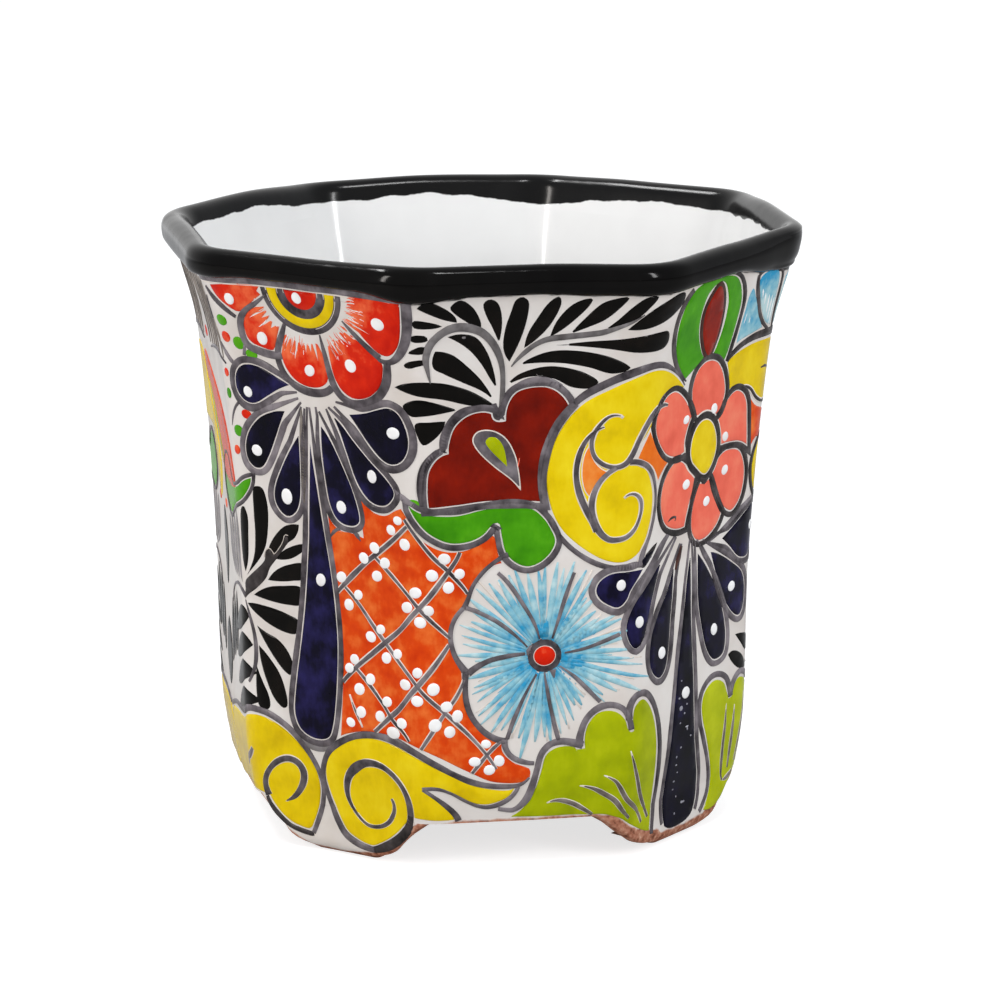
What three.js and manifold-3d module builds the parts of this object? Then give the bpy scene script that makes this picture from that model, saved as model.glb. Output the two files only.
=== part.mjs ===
// An octagonal ceramic planter: a flared eight-sided wall on four bracket feet, a floor slab with a
// drain hole, and a rolled lip. Millimetres, +Z up, origin on the ground under the middle of the pot.
// One flat side faces -Y, and the feet stand under the four diagonal sides.
import * as THREE from "three";
import { mergeVertices } from "three/addons/utils/BufferGeometryUtils.js";
import Module from "manifold-3d";

const wasm = await Module();
wasm.setup();

// Overall sizes
const SIDES = 8;
const HEIGHT = 260; // ground to the crest of the lip, at the middle of a side
const FOOT_HEIGHT = 20.5; // ground to the underside of the wall and floor
const LIP_HEIGHT = 16; // the rolled lip, from its seat on the wall to its crest

// Wall: half the width across flats of its outer face, from the bottom up
const BASE_APOTHEM = 105.1;
const SHOULDER_APOTHEM = 108.9;
const WAIST_APOTHEM = 111.4;
const FLARE_APOTHEM = 118.9;
const TOP_APOTHEM = 126.6;
const SHOULDER_RISE = 27; // above the wall's bottom edge
const WAIST_RISE = 108; // above the wall's bottom edge
const FLARE_DROP = 30; // below the wall's top edge
const WALL_THICKNESS = 8;
const CORNER_RADIUS = 17; // outer corners of the wall, at its foot
const LIP_CORNER_RADIUS = 28; // outer corners where the wall meets the lip

// Lip
const LIP_OVERHANG = 6.6; // how far the roll stands out past the wall's top edge
const LIP_INNER_BULGE = 1.4; // how far the roll stands in past the wall's inner face
const LIP_DIP = 1.4; // how much lower the crest runs over each corner
const LIP_BELLY_RISE = 3.2; // above the seat, where the roll is nearly at its widest
const LIP_BELLY_INSET = 1.2; // how far inside its widest reach the roll is there

// Floor
const FLOOR_THICKNESS = 9;
const DRAIN_HOLE_DIAMETER = 15;
const LUTE_GAP = 0.3; // the slip joint round the floor slab

// Feet
const FOOT_DEPTH = 26; // from the wall's outer face inwards
const FOOT_EDGE_RADIUS = 5; // outer bottom edge
const FOOT_INNER_SLOPE = 4; // how far the inner face leans outwards on its way down
const FOOT_INNER_CORNER = 1; // corner radius of the ring's inner side
const ARCH_TOP_WIDTH = 82; // the gap between two feet, under the wall
const ARCH_FLARE = 15; // how much further each side of that gap runs out, at the ground

// Mesh fineness
const FACE_STEPS = 6; // along the flat of each side
const CORNER_STEPS = 4; // round each corner
const WALL_RINGS = 13;
const ARC_STEPS = 5; // for each quarter round
const HOLE_STEPS = 32; // round the drain hole
const CUT_OVERRUN = 8; // how far a cutting shape runs past what it cuts

const WALL_TOP = HEIGHT - LIP_HEIGHT;
const HALF_SIDE = Math.PI / SIDES;

// The outer face's stations, as [height, apothem]
const WALL_STATIONS = [
  [FOOT_HEIGHT, BASE_APOTHEM],
  [FOOT_HEIGHT + SHOULDER_RISE, SHOULDER_APOTHEM],
  [FOOT_HEIGHT + WAIST_RISE, WAIST_APOTHEM],
  [WALL_TOP - FLARE_DROP, FLARE_APOTHEM],
  [WALL_TOP, TOP_APOTHEM],
];

// A smooth value through the stations, by a cubic between each two
function through(stations, z) {
  const last = stations.length - 1;
  const slope = (i, j) => (stations[j][1] - stations[i][1]) / (stations[j][0] - stations[i][0]);
  const tangent = (i) => slope(Math.max(i - 1, 0), Math.min(i + 1, last));
  let i = 0;
  while (i < last - 1 && z > stations[i + 1][0]) i += 1;
  const [z0, a0] = stations[i];
  const [z1, a1] = stations[i + 1];
  const span = z1 - z0;
  const t = THREE.MathUtils.clamp((z - z0) / span, 0, 1);
  return (
    a0 * (1 + 2 * t) * (1 - t) ** 2 +
    a1 * t * t * (3 - 2 * t) +
    span * (tangent(i) * t * (1 - t) ** 2 - tangent(i + 1) * t * t * (1 - t))
  );
}

const outerApothem = (z) => through(WALL_STATIONS, z);
const innerApothem = (z) => outerApothem(z) - WALL_THICKNESS;

// The outer corners open out from the base to the lip, most of it in the flare
function cornerRadius(z) {
  const t = THREE.MathUtils.clamp((z - FOOT_HEIGHT) / (WALL_TOP - FOOT_HEIGHT), 0, 1);
  return CORNER_RADIUS + (LIP_CORNER_RADIUS - CORNER_RADIUS) * t * t;
}

// Distance from the axis to a rounded octagon, at an angle from the middle of one side
function octagonReach(apothem, corner, angle) {
  const flat = (apothem - corner) * Math.tan(HALF_SIDE);
  if (apothem * Math.tan(Math.abs(angle)) <= flat) return apothem / Math.cos(angle);
  const centre = (apothem - corner) / Math.cos(HALF_SIDE);
  const fromCorner = HALF_SIDE - Math.abs(angle);
  const across = centre * Math.sin(fromCorner);
  return centre * Math.cos(fromCorner) + Math.sqrt(Math.max(corner ** 2 - across ** 2, 0));
}

// Angles round one side, from corner to corner: close together on the corners, wide on the flat
function sideAngles() {
  const edge = Math.atan((1 - CORNER_RADIUS / BASE_APOTHEM) * Math.tan(HALF_SIDE));
  const half = CORNER_STEPS / 2;
  const angles = [];
  for (let i = 0; i < half; i += 1) angles.push(-HALF_SIDE + ((HALF_SIDE - edge) * i) / half);
  for (let i = 0; i <= FACE_STEPS; i += 1) angles.push(-edge + (2 * edge * i) / FACE_STEPS);
  for (let i = 1; i < half; i += 1) angles.push(edge + ((HALF_SIDE - edge) * i) / half);
  return angles;
}

const ROUND = sideAngles();
const AROUND = Array.from({ length: SIDES }, (_, side) =>
  ROUND.map((angle) => ({ angle, turn: side * 2 * HALF_SIDE + angle })),
).flat();

// Turns a profile round the axis, and presses each turned point out to the octagon.
// A profile point is {apothem, z, corner, dip}: corner is its corner radius, and dip is how much
// lower it runs over the corners. A closed profile makes a ring, and an open one starts and ends
// on the axis.
function turnedOctagon(profile, closed) {
  const points = closed ? [...profile, profile[0]] : profile;
  const lathe = new THREE.LatheGeometry(
    points.map((p) => new THREE.Vector2(p.apothem, p.z)),
    AROUND.length,
  );
  const position = lathe.getAttribute("position");
  for (let column = 0; column <= AROUND.length; column += 1) {
    const { angle, turn } = AROUND[column % AROUND.length];
    points.forEach((p, row) => {
      const reach = p.apothem === 0 ? 0 : octagonReach(p.apothem, p.corner, angle);
      const dip = ((p.dip ?? 0) * (1 - Math.cos((Math.PI * angle) / HALF_SIDE))) / 2;
      position.setXYZ(
        column * points.length + row,
        reach * Math.sin(turn),
        -reach * Math.cos(turn),
        p.z - dip,
      );
    });
  }
  return solid(lathe);
}

// A closed geometry as a solid that can be cut and joined
function solid(geometry) {
  const bare = geometry.clone();
  bare.deleteAttribute("normal");
  bare.deleteAttribute("uv");
  const merged = mergeVertices(bare, 1e-4);
  const triangles = Array.from(merged.index.array);
  const faces = [];
  for (let i = 0; i < triangles.length; i += 3) {
    const [a, b, c] = triangles.slice(i, i + 3);
    if (a !== b && b !== c && c !== a) faces.push(a, b, c);
  }
  return new wasm.Manifold(
    new wasm.Mesh({
      numProp: 3,
      vertProperties: merged.getAttribute("position").array,
      triVerts: new Uint32Array(faces),
    }),
  );
}

function meshOf(name, shape, material) {
  const data = shape.getMesh();
  const geometry = new THREE.BufferGeometry();
  geometry.setAttribute("position", new THREE.BufferAttribute(data.vertProperties, 3));
  geometry.setIndex(new THREE.BufferAttribute(data.triVerts, 1));
  geometry.computeVertexNormals();
  const mesh = new THREE.Mesh(geometry, material);
  mesh.name = name;
  return mesh;
}

const outerPoint = (z) => ({ apothem: outerApothem(z), z, corner: cornerRadius(z) });
const innerPoint = (z) => ({
  apothem: innerApothem(z),
  z,
  corner: cornerRadius(z) - WALL_THICKNESS,
});

const lerp = THREE.MathUtils.lerp;

// The flared wall, from the feet to the lip's seat
function wall() {
  const heights = Array.from({ length: WALL_RINGS }, (_, i) =>
    lerp(FOOT_HEIGHT, WALL_TOP, i / (WALL_RINGS - 1)),
  );
  return turnedOctagon([...heights.map(outerPoint), ...heights.toReversed().map(innerPoint)], true);
}

// The rolled lip: a flat seat on the wall, a bulging outer side and a round crest
function lip() {
  const innerFace = innerApothem(WALL_TOP) - LIP_INNER_BULGE;
  const outerFace = TOP_APOTHEM + LIP_OVERHANG;
  const crestRadius = (outerFace - innerFace) / 2;
  const middle = (outerFace + innerFace) / 2;
  const crestRise = Math.min(crestRadius, LIP_HEIGHT / 2);
  const crestFoot = HEIGHT - crestRise;
  const at = (apothem, z) => ({
    apothem,
    z,
    corner: LIP_CORNER_RADIUS + apothem - TOP_APOTHEM,
    dip: (LIP_DIP * (z - WALL_TOP)) / LIP_HEIGHT,
  });
  const crest = Array.from({ length: 2 * ARC_STEPS + 1 }, (_, i) => {
    const turn = (Math.PI * i) / (2 * ARC_STEPS);
    return at(middle + crestRadius * Math.cos(turn), crestFoot + crestRise * Math.sin(turn));
  });
  const seat = [at(innerApothem(WALL_TOP), WALL_TOP), at(TOP_APOTHEM, WALL_TOP)];
  const belly = at(outerFace - LIP_BELLY_INSET, WALL_TOP + LIP_BELLY_RISE);
  return turnedOctagon([...seat, belly, ...crest], true);
}

// The floor slab, let into the bottom of the wall, with the drain hole through its middle
function floor() {
  const top = FOOT_HEIGHT + FLOOR_THICKNESS;
  const edge = (z) => {
    const p = innerPoint(z);
    return { apothem: p.apothem - LUTE_GAP, z, corner: p.corner - LUTE_GAP };
  };
  const slab = turnedOctagon(
    [{ apothem: 0, z: FOOT_HEIGHT }, edge(FOOT_HEIGHT), edge(top), { apothem: 0, z: top }],
    false,
  );
  const hole = new THREE.CylinderGeometry(
    DRAIN_HOLE_DIAMETER / 2,
    DRAIN_HOLE_DIAMETER / 2,
    FLOOR_THICKNESS + 2 * CUT_OVERRUN,
    HOLE_STEPS,
  );
  hole.rotateX(Math.PI / 2);
  hole.translate(0, 0, FOOT_HEIGHT + FLOOR_THICKNESS / 2);
  return slab.subtract(solid(hole));
}

// The ring that the feet are cut from: it carries on down from the wall, with a round outer edge
function footRing() {
  const corner = (apothem) => Math.max(CORNER_RADIUS + apothem - BASE_APOTHEM, FOOT_INNER_CORNER);
  const at = (apothem, z) => ({ apothem, z, corner: corner(apothem) });
  const inner = BASE_APOTHEM - FOOT_DEPTH;
  const round = Array.from({ length: ARC_STEPS + 1 }, (_, i) => {
    const turn = (Math.PI * i) / (2 * ARC_STEPS);
    return at(
      BASE_APOTHEM - FOOT_EDGE_RADIUS * (1 - Math.sin(turn)),
      FOOT_EDGE_RADIUS * (1 - Math.cos(turn)),
    );
  });
  return turnedOctagon(
    [
      at(inner + FOOT_INNER_SLOPE, 0),
      ...round,
      at(BASE_APOTHEM, FOOT_HEIGHT),
      at(inner, FOOT_HEIGHT),
    ],
    true,
  );
}

// A bar through the whole ring, along X, that opens the arches in two facing sides
function archBar() {
  const above = FOOT_HEIGHT + CUT_OVERRUN;
  const below = -CUT_OVERRUN;
  const halfWidth = (z) => ARCH_TOP_WIDTH / 2 + (ARCH_FLARE * (FOOT_HEIGHT - z)) / FOOT_HEIGHT;
  const section = new THREE.Shape([
    new THREE.Vector2(-halfWidth(below), below),
    new THREE.Vector2(halfWidth(below), below),
    new THREE.Vector2(halfWidth(above), above),
    new THREE.Vector2(-halfWidth(above), above),
  ]);
  const length = 2 * (BASE_APOTHEM + CUT_OVERRUN);
  const bar = new THREE.ExtrudeGeometry(section, { depth: length, bevelEnabled: false });
  bar.translate(0, 0, -length / 2);
  bar.rotateX(Math.PI / 2);
  bar.rotateZ(Math.PI / 2);
  return solid(bar);
}

// One bracket foot: the quarter of the ring that the two arches leave
function foot(ring, towardsX, towardsY) {
  const size = 2 * BASE_APOTHEM;
  const quarter = new THREE.BoxGeometry(size, size, size);
  quarter.translate((towardsX * size) / 2, (towardsY * size) / 2, 0);
  return ring.intersect(solid(quarter));
}

const glaze = (color) => new THREE.MeshStandardMaterial({ color, roughness: 0.15, metalness: 0 });
const WHITE_GLAZE = glaze(0xe6e0da);
const BLACK_GLAZE = glaze(0x08080a);
const BARE_CLAY = new THREE.MeshStandardMaterial({ color: 0xa8674a, roughness: 0.9, metalness: 0 });

const bar = archBar();
const arched = footRing().subtract(bar).subtract(bar.rotate([0, 0, 90]));

const planter = new THREE.Group();
planter.add(meshOf("wall", wall(), WHITE_GLAZE));
planter.add(meshOf("rolled_lip", lip(), BLACK_GLAZE));
planter.add(meshOf("floor_slab", floor(), WHITE_GLAZE));
for (const [end, towardsY] of Object.entries({ front: -1, rear: 1 })) {
  for (const [hand, towardsX] of Object.entries({ left: -1, right: 1 })) {
    const shape = foot(arched, towardsX, towardsY);
    planter.add(meshOf(`foot_${end}_${hand}`, shape, BARE_CLAY));
  }
}

export default planter;
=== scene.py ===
import math
import random

import bpy
import numpy as np
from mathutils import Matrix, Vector
from mathutils.geometry import delaunay_2d_cdt


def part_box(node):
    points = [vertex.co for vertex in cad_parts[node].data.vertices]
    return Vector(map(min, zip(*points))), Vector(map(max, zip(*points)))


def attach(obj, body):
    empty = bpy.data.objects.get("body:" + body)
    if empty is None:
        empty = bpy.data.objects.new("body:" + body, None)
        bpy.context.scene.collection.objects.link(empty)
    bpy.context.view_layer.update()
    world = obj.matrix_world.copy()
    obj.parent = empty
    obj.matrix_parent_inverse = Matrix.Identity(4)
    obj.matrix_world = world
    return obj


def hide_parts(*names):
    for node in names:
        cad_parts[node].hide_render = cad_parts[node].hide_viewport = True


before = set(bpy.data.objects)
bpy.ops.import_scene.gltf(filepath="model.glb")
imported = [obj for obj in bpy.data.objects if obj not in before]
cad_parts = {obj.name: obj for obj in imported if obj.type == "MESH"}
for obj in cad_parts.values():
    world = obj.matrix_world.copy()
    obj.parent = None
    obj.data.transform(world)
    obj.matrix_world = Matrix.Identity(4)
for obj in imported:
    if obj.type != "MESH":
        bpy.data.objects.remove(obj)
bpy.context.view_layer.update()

# The looks of a hand-painted octagonal planter. The row frame is in metres, with +Z up. The pot and its
# painting are worked out in millimetres. A painted mark is placed on the unrolled wall as
# (along, up): along runs round the pot from the middle of the front side, towards the right.
MM = 0.001
SIDES = 8
HALF_TURN = math.pi / SIDES
SIDE_LENGTH = 92.0
WHOLE_TURN = SIDES * SIDE_LENGTH

lip_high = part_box("rolled_lip")[1]
wall_low, wall_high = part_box("wall")
slab_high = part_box("floor_slab")[1]
HEIGHT = lip_high.z / MM
WALL_TOP = wall_high.z / MM
TOP_APOTHEM = wall_high.x / MM
FOOT_TOP = wall_low.z / MM
FLOOR_TOP = slab_high.z / MM

# A mark's height, up, is 14.5 at the wall's bottom edge
MARK_ZERO = FOOT_TOP - 14.5

# Shape of the wall and feet
BASE_APOTHEM = 105.1
WALL_STATIONS = [
    (FOOT_TOP, BASE_APOTHEM),
    (FOOT_TOP + 27, 108.9),
    (FOOT_TOP + 108, 111.4),
    (WALL_TOP - 30, 118.9),
    (WALL_TOP, TOP_APOTHEM),
]
WALL_THICKNESS = 8.0
CORNER_RADIUS = 17.0
LIP_CORNER_RADIUS = 28.0
# The rolled lip, as (out from the wall's top edge, up from it), over the crest and back inside
LIP_OUTSIDE = [
    (0.0, 0.05), (2.6, 0.7), (4.8, 2.2), (5.9, 4.6), (6.3, 7.4), (6.4, 10.0), (6.0, 12.3),
    (4.9, 14.2), (3.0, 15.5), (0.9, 16.0),
]
LIP_INSIDE = [
    (-1.0, 15.7), (-2.5, 14.9), (-3.8, 13.6), (-4.8, 11.8), (-5.6, 9.4), (-6.3, 6.4), (-7.1, 3.2),
    (-8.0, 0.0),
]
LIP_OUT = 6.4
LIP_RISE = 16.0
# How far the wall's widening goes on above its top, for each mm of height
LIP_LEAN = 0.33
# The next four go round the pot from the middle of the front, at even steps. The first says how far the
# lip's painted lower edge lies over the wall's top.
LIP_SEAT = (
    [4.6, 3.0, 2.0, 3.2, 4.0, 0.9, -2.2, -2.4, -0.5] + [1.0] * 16 + [1.5, 3.0, 5.0, 5.4, 5.2, 1.8, 4.2]
)
# How far the lip's crest rises or sinks
LIP_CREST = [1.2, -0.3, 0.8, 2.0, 2.2, 0.0, -0.5, -1.8, -0.8, -2.4, -0.2, -1.2, 0.0, 0.0, 0.2, 1.2]
# How far the lip's outer side is drawn in
LIP_HOLLOW = [0.0] * 3 + [3.0, 0.6] + [0.0] * 11
# How deep the black band reaches inside, under the crest
INNER_BAND = [8, 8, 8, 7, 7.5, 8.8, 8.1, 11.8, 8.0, 8.0, 6.8, 7.2, 7, 7.4, 8, 8]
FOOT_DEPTH = 26.0
FOOT_EDGE = 6.5
# How far a foot's ends are rounded, and how much its inner side narrows towards the ground
FOOT_ROUND = 3.5
FOOT_TAPER = 3.0
DRAIN_RADIUS = 7.5

# A band or clay value for places that have none
NONE_HERE = -9.0

# Thickness of the painted marks
UNDER = -0.25
FILL_LIFT = 0.22
LINE_LIFT = 0.34
DOT_LIFT = 0.6
# The usual width of a fine white edge, and a spot's usual half width and half height
HALO = 0.4
SPOT_SIZE = (2.7, 2.6)
EDGE_ROUND = 0.55
CURVE_STEP = 1.3
FILL_GRID = 3.2
C = "corner"

dice = random.Random(7)


# Pot surface

def through(stations, z):
    """A smooth value through the stations, and its slope, by a cubic between each two."""
    zs = np.array([s[0] for s in stations])
    values = np.array([s[1] for s in stations])
    last = len(zs) - 1
    slopes = np.array([
        (values[min(i + 1, last)] - values[max(i - 1, 0)])
        / (zs[min(i + 1, last)] - zs[max(i - 1, 0)])
        for i in range(last + 1)
    ])
    i = np.clip(np.searchsorted(zs, z, side="right") - 1, 0, last - 1)
    span = zs[i + 1] - zs[i]
    t = np.clip((z - zs[i]) / span, 0, 1)
    a, b = values[i], values[i + 1]
    ta, tb = slopes[i] * span, slopes[i + 1] * span
    value = (
        a * (2 * t**3 - 3 * t**2 + 1) + b * (3 * t**2 - 2 * t**3)
        + ta * (t**3 - 2 * t**2 + t) + tb * (t**3 - t**2)
    )
    slope = (
        (a - b) * (6 * t**2 - 6 * t) + ta * (3 * t**2 - 4 * t + 1) + tb * (3 * t**2 - 2 * t)
    ) / span
    return value, slope


def apothem_at(z):
    """Half the width across flats of the outer face at a height, and its slope."""
    value, slope = through(WALL_STATIONS, np.clip(z, FOOT_TOP, WALL_TOP))
    slope = np.where(z < FOOT_TOP, 0, slope)
    depth = np.clip((FOOT_EDGE - z) / FOOT_EDGE, 0, 0.97)
    value = value - FOOT_EDGE * (1 - np.sqrt(1 - depth**2))
    slope = slope + depth / np.sqrt(1 - depth**2)
    above = np.clip(z - WALL_TOP, 0, 7)
    return value + LIP_LEAN * above, slope


def round_the_pot(values, along):
    """A value that eases from one of the values to the next, at even steps round the pot."""
    place = np.asarray(along) * len(values) / WHOLE_TURN
    low = np.floor(place).astype(int)
    ease = 0.5 - 0.5 * np.cos(np.pi * (place - low))
    values = np.array(values)
    return values[low % len(values)] * (1 - ease) + values[(low + 1) % len(values)] * ease


def corner_at(z):
    t = np.clip((z - FOOT_TOP) / (WALL_TOP - FOOT_TOP), 0, 1)
    return CORNER_RADIUS + (LIP_CORNER_RADIUS - CORNER_RADIUS) * t**2


def hand_wobble(along, z):
    """The slight unevenness of a hand-pressed wall, in mm. It closes up after a whole turn."""
    turn = 2 * np.pi * along / WHOLE_TURN
    return (
        0.35 * np.sin(3 * turn + 0.7) * np.sin(z / 47 + 0.4)
        + 0.25 * np.sin(5 * turn + 2.1 + z / 90)
        + 0.14 * np.sin(11 * turn + z / 31)
    )


def octagon(along, apothem, radius):
    """Places along a rounded octagon, as (x, y, outward x, outward y)."""
    flat = (apothem - radius) * math.tan(HALF_TURN)
    length = 2 * flat + radius * 2 * HALF_TURN
    side = np.round(along / SIDE_LENGTH)
    reach = (along / SIDE_LENGTH - side) * length
    bend = np.clip((np.abs(reach) - flat) / radius, 0, None) * np.sign(reach)
    bent = np.abs(reach) > flat
    across = np.where(bent, np.sign(reach) * flat + radius * np.sin(bend), reach)
    out = np.where(bent, apothem - radius + radius * np.cos(bend), apothem)
    facing = side * 2 * HALF_TURN
    x = out * np.sin(facing) + across * np.cos(facing)
    y = -out * np.cos(facing) + across * np.sin(facing)
    return x, y, np.sin(facing + bend), -np.cos(facing + bend)


def on_wall(along, z, lift):
    """Points on the pot's outer face, lift mm in front of it, in metres."""
    apothem, slope = apothem_at(z)
    x, y, out_x, out_y = octagon(along, apothem, corner_at(z))
    tilt = np.sqrt(1 + slope**2)
    push = (lift + hand_wobble(along, z)) / tilt
    return np.stack([x + out_x * push, y + out_y * push, z - slope * push], -1) * MM


# Meshes

def add_mesh(name, points, faces):
    mesh = bpy.data.meshes.new(name)
    mesh.from_pydata([tuple(p) for p in points], [], faces)
    mesh.validate()
    mesh.shade_smooth()
    piece = bpy.data.objects.new(name, mesh)
    bpy.context.collection.objects.link(piece)
    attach(piece, "root")
    return piece


def set_value(piece, name, values):
    layer = piece.data.attributes.new(name, "FLOAT", "POINT")
    layer.data.foreach_set("value", np.asarray(values, np.float32))


def tube_faces(rings, around, closed_rings=False):
    """Quads between rings of points. Point i of ring r has the number r * around + i."""
    faces = []
    for r in range(rings if closed_rings else rings - 1):
        s = (r + 1) % rings
        for i in range(around):
            j = (i + 1) % around
            faces.append((r * around + i, r * around + j, s * around + j, s * around + i))
    return faces


# Curves on the unrolled wall

def smooth_run(points, closed=False):
    """A fine smooth line through points, with a cubic between each two."""
    points = np.asarray(points, float)
    if closed:
        points = np.vstack([points[-1], points, points[0], points[1]])
    gaps = np.maximum(np.linalg.norm(np.diff(points, axis=0), axis=1), 1e-6) ** 0.7
    t = np.concatenate([[0], np.cumsum(gaps)])
    slopes = np.empty_like(points)
    slopes[1:-1] = (points[2:] - points[:-2]) / (t[2:] - t[:-2])[:, None]
    slopes[0] = (points[1] - points[0]) / gaps[0]
    slopes[-1] = (points[-1] - points[-2]) / gaps[-1]
    if len(points) > 2:
        slopes[0] = 2 * slopes[0] - slopes[1]
        slopes[-1] = 2 * slopes[-1] - slopes[-2]
    first, final = (1, len(points) - 2) if closed else (0, len(points) - 1)
    fine = []
    for i in range(first, final):
        u = np.linspace(0, 1, 16, endpoint=False)[:, None]
        g = gaps[i]
        fine.append(
            points[i] * (2 * u**3 - 3 * u**2 + 1) + points[i + 1] * (3 * u**2 - 2 * u**3)
            + g * slopes[i] * (u**3 - 2 * u**2 + u) + g * slopes[i + 1] * (u**3 - u**2)
        )
    fine.append(points[final][None])
    return np.vstack(fine)


def even(line, step=CURVE_STEP):
    """The same line with evenly spaced points."""
    gaps = np.linalg.norm(np.diff(line, axis=0), axis=1)
    t = np.concatenate([[0], np.cumsum(gaps)])
    count = max(2, int(round(t[-1] / step)) + 1)
    at = np.linspace(0, t[-1], count)
    return np.stack([np.interp(at, t, line[:, k]) for k in (0, 1)], -1)


def line_through(points, step=CURVE_STEP):
    return even(smooth_run(points), step)


def loop_through(points):
    """A closed line through points. A point marked as a corner stays sharp."""
    sharp = [i for i, p in enumerate(points) if len(p) > 2]
    flat = [p[:2] for p in points]
    if not sharp:
        loop = even(smooth_run(flat, closed=True))[:-1]
    else:
        turned = flat[sharp[0]:] + flat[:sharp[0]]
        turned.append(turned[0])
        stops = [i - sharp[0] for i in sharp] + [len(flat)]
        runs = [line_through(turned[a:b + 1])[:-1] for a, b in zip(stops, stops[1:])]
        loop = np.vstack(runs)
    x, y = loop[:, 0], loop[:, 1]
    area = np.sum(x * np.roll(y, -1) - y * np.roll(x, -1))
    return loop if area > 0 else loop[::-1]


def sideways(line, closed):
    """Unit vectors to the right of a line's direction. That is outwards on a loop."""
    if closed:
        ahead = np.roll(line, -1, axis=0) - line
        behind = line - np.roll(line, 1, axis=0)
    else:
        step = np.diff(line, axis=0)
        ahead = np.vstack([step, step[-1]])
        behind = np.vstack([step[0], step])
    ahead = ahead / np.maximum(np.linalg.norm(ahead, axis=1, keepdims=True), 1e-9)
    behind = behind / np.maximum(np.linalg.norm(behind, axis=1, keepdims=True), 1e-9)
    both = ahead + behind
    size = np.maximum(np.linalg.norm(both, axis=1, keepdims=True), 0.8)
    both = 2 * both / size**2
    return np.stack([both[:, 1], -both[:, 0]], -1)


def distance_to(loop, points):
    """Distance of each point to a closed line."""
    a, b = loop, np.roll(loop, -1, axis=0)
    edge = b - a
    length = np.maximum(np.sum(edge**2, axis=1), 1e-12)
    best = np.full(len(points), 1e9)
    for start in range(0, len(a), 256):
        part = slice(start, start + 256)
        away = points[:, None] - a[None, part]
        t = np.clip(np.sum(away * edge[None, part], -1) / length[part], 0, 1)
        gap = np.linalg.norm(away - t[..., None] * edge[None, part], axis=-1)
        best = np.minimum(best, gap.min(1))
    return best


def inside(loop, points):
    x, y = points[:, 0][:, None], points[:, 1][:, None]
    ax, ay = loop[:, 0][None], loop[:, 1][None]
    bx, by = np.roll(loop[:, 0], -1)[None], np.roll(loop[:, 1], -1)[None]
    crosses = (ay > y) != (by > y)
    at = ax + (y - ay) * (bx - ax) / np.where(by == ay, 1e-12, by - ay)
    return np.sum(crosses & (x < at), axis=1) % 2 == 1


# Paints. Each one gathers closed raised patches and strokes before they go onto the wall.

class Paint:
    def __init__(self, name):
        self.name = name
        self.points = []
        self.tones = []
        self.faces = []
        self.count = 0

    def add(self, points, tones, faces):
        self.points.append(np.asarray(points, float))
        self.tones.append(np.broadcast_to(np.asarray(tones, float), len(points)))
        self.faces.extend([tuple(self.count + i for i in face) for face in faces])
        self.count += len(points)


PAINTS = {}


def paint_named(name):
    if name not in PAINTS:
        PAINTS[name] = Paint(name)
    return PAINTS[name]


def patch(paint, loop, lift=FILL_LIFT, tone=None):
    """A closed patch of enamel over the inside of a loop, with a rounded edge.

    tone picks its shade, from 0 to 1: one value, or a function of its points."""
    loop = np.asarray(loop)
    inner = loop - sideways(loop, True) * EDGE_ROUND
    inner = inner[distance_to(loop, inner) > 0.85 * EDGE_ROUND]
    inner = inner[inside(loop, inner)]
    low, high = loop.min(0), loop.max(0)
    grid = np.stack(np.meshgrid(
        np.arange(low[0], high[0], FILL_GRID), np.arange(low[1], high[1], FILL_GRID)
    ), -1).reshape(-1, 2)
    middle = grid[inside(loop, grid)]
    if len(middle):
        middle = middle[distance_to(loop, middle) > 2.2 * EDGE_ROUND]
    flat = np.vstack([loop, inner, middle])
    border = list(range(len(loop)))
    found, _, faces, *_ = delaunay_2d_cdt([Vector(p) for p in flat], [], [border], 1, 1e-5)
    found = np.array([tuple(p) for p in found])
    deep = np.clip(distance_to(loop, found) / EDGE_ROUND, 0, 1)
    rise = lift * np.sqrt(1 - (1 - deep) ** 2)
    top = np.column_stack([found, rise])
    bottom = np.column_stack([found, np.full(len(found), UNDER)])
    n = len(found)
    faces = [tuple(f) for f in faces]
    edges = {}
    for f in faces:
        for a, b in zip(f, f[1:] + f[:1]):
            edges[(a, b)] = True
    skirt = [(b, a, a + n, b + n) for a, b in edges if (b, a) not in edges]
    under = [tuple(i + n for i in reversed(f)) for f in faces]
    if tone is None:
        tone = dice.random()
    elif callable(tone):
        tone = np.tile(tone(found), 2)
    paint_named(paint).add(np.vstack([top, bottom]), tone, faces + under + skirt)


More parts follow.
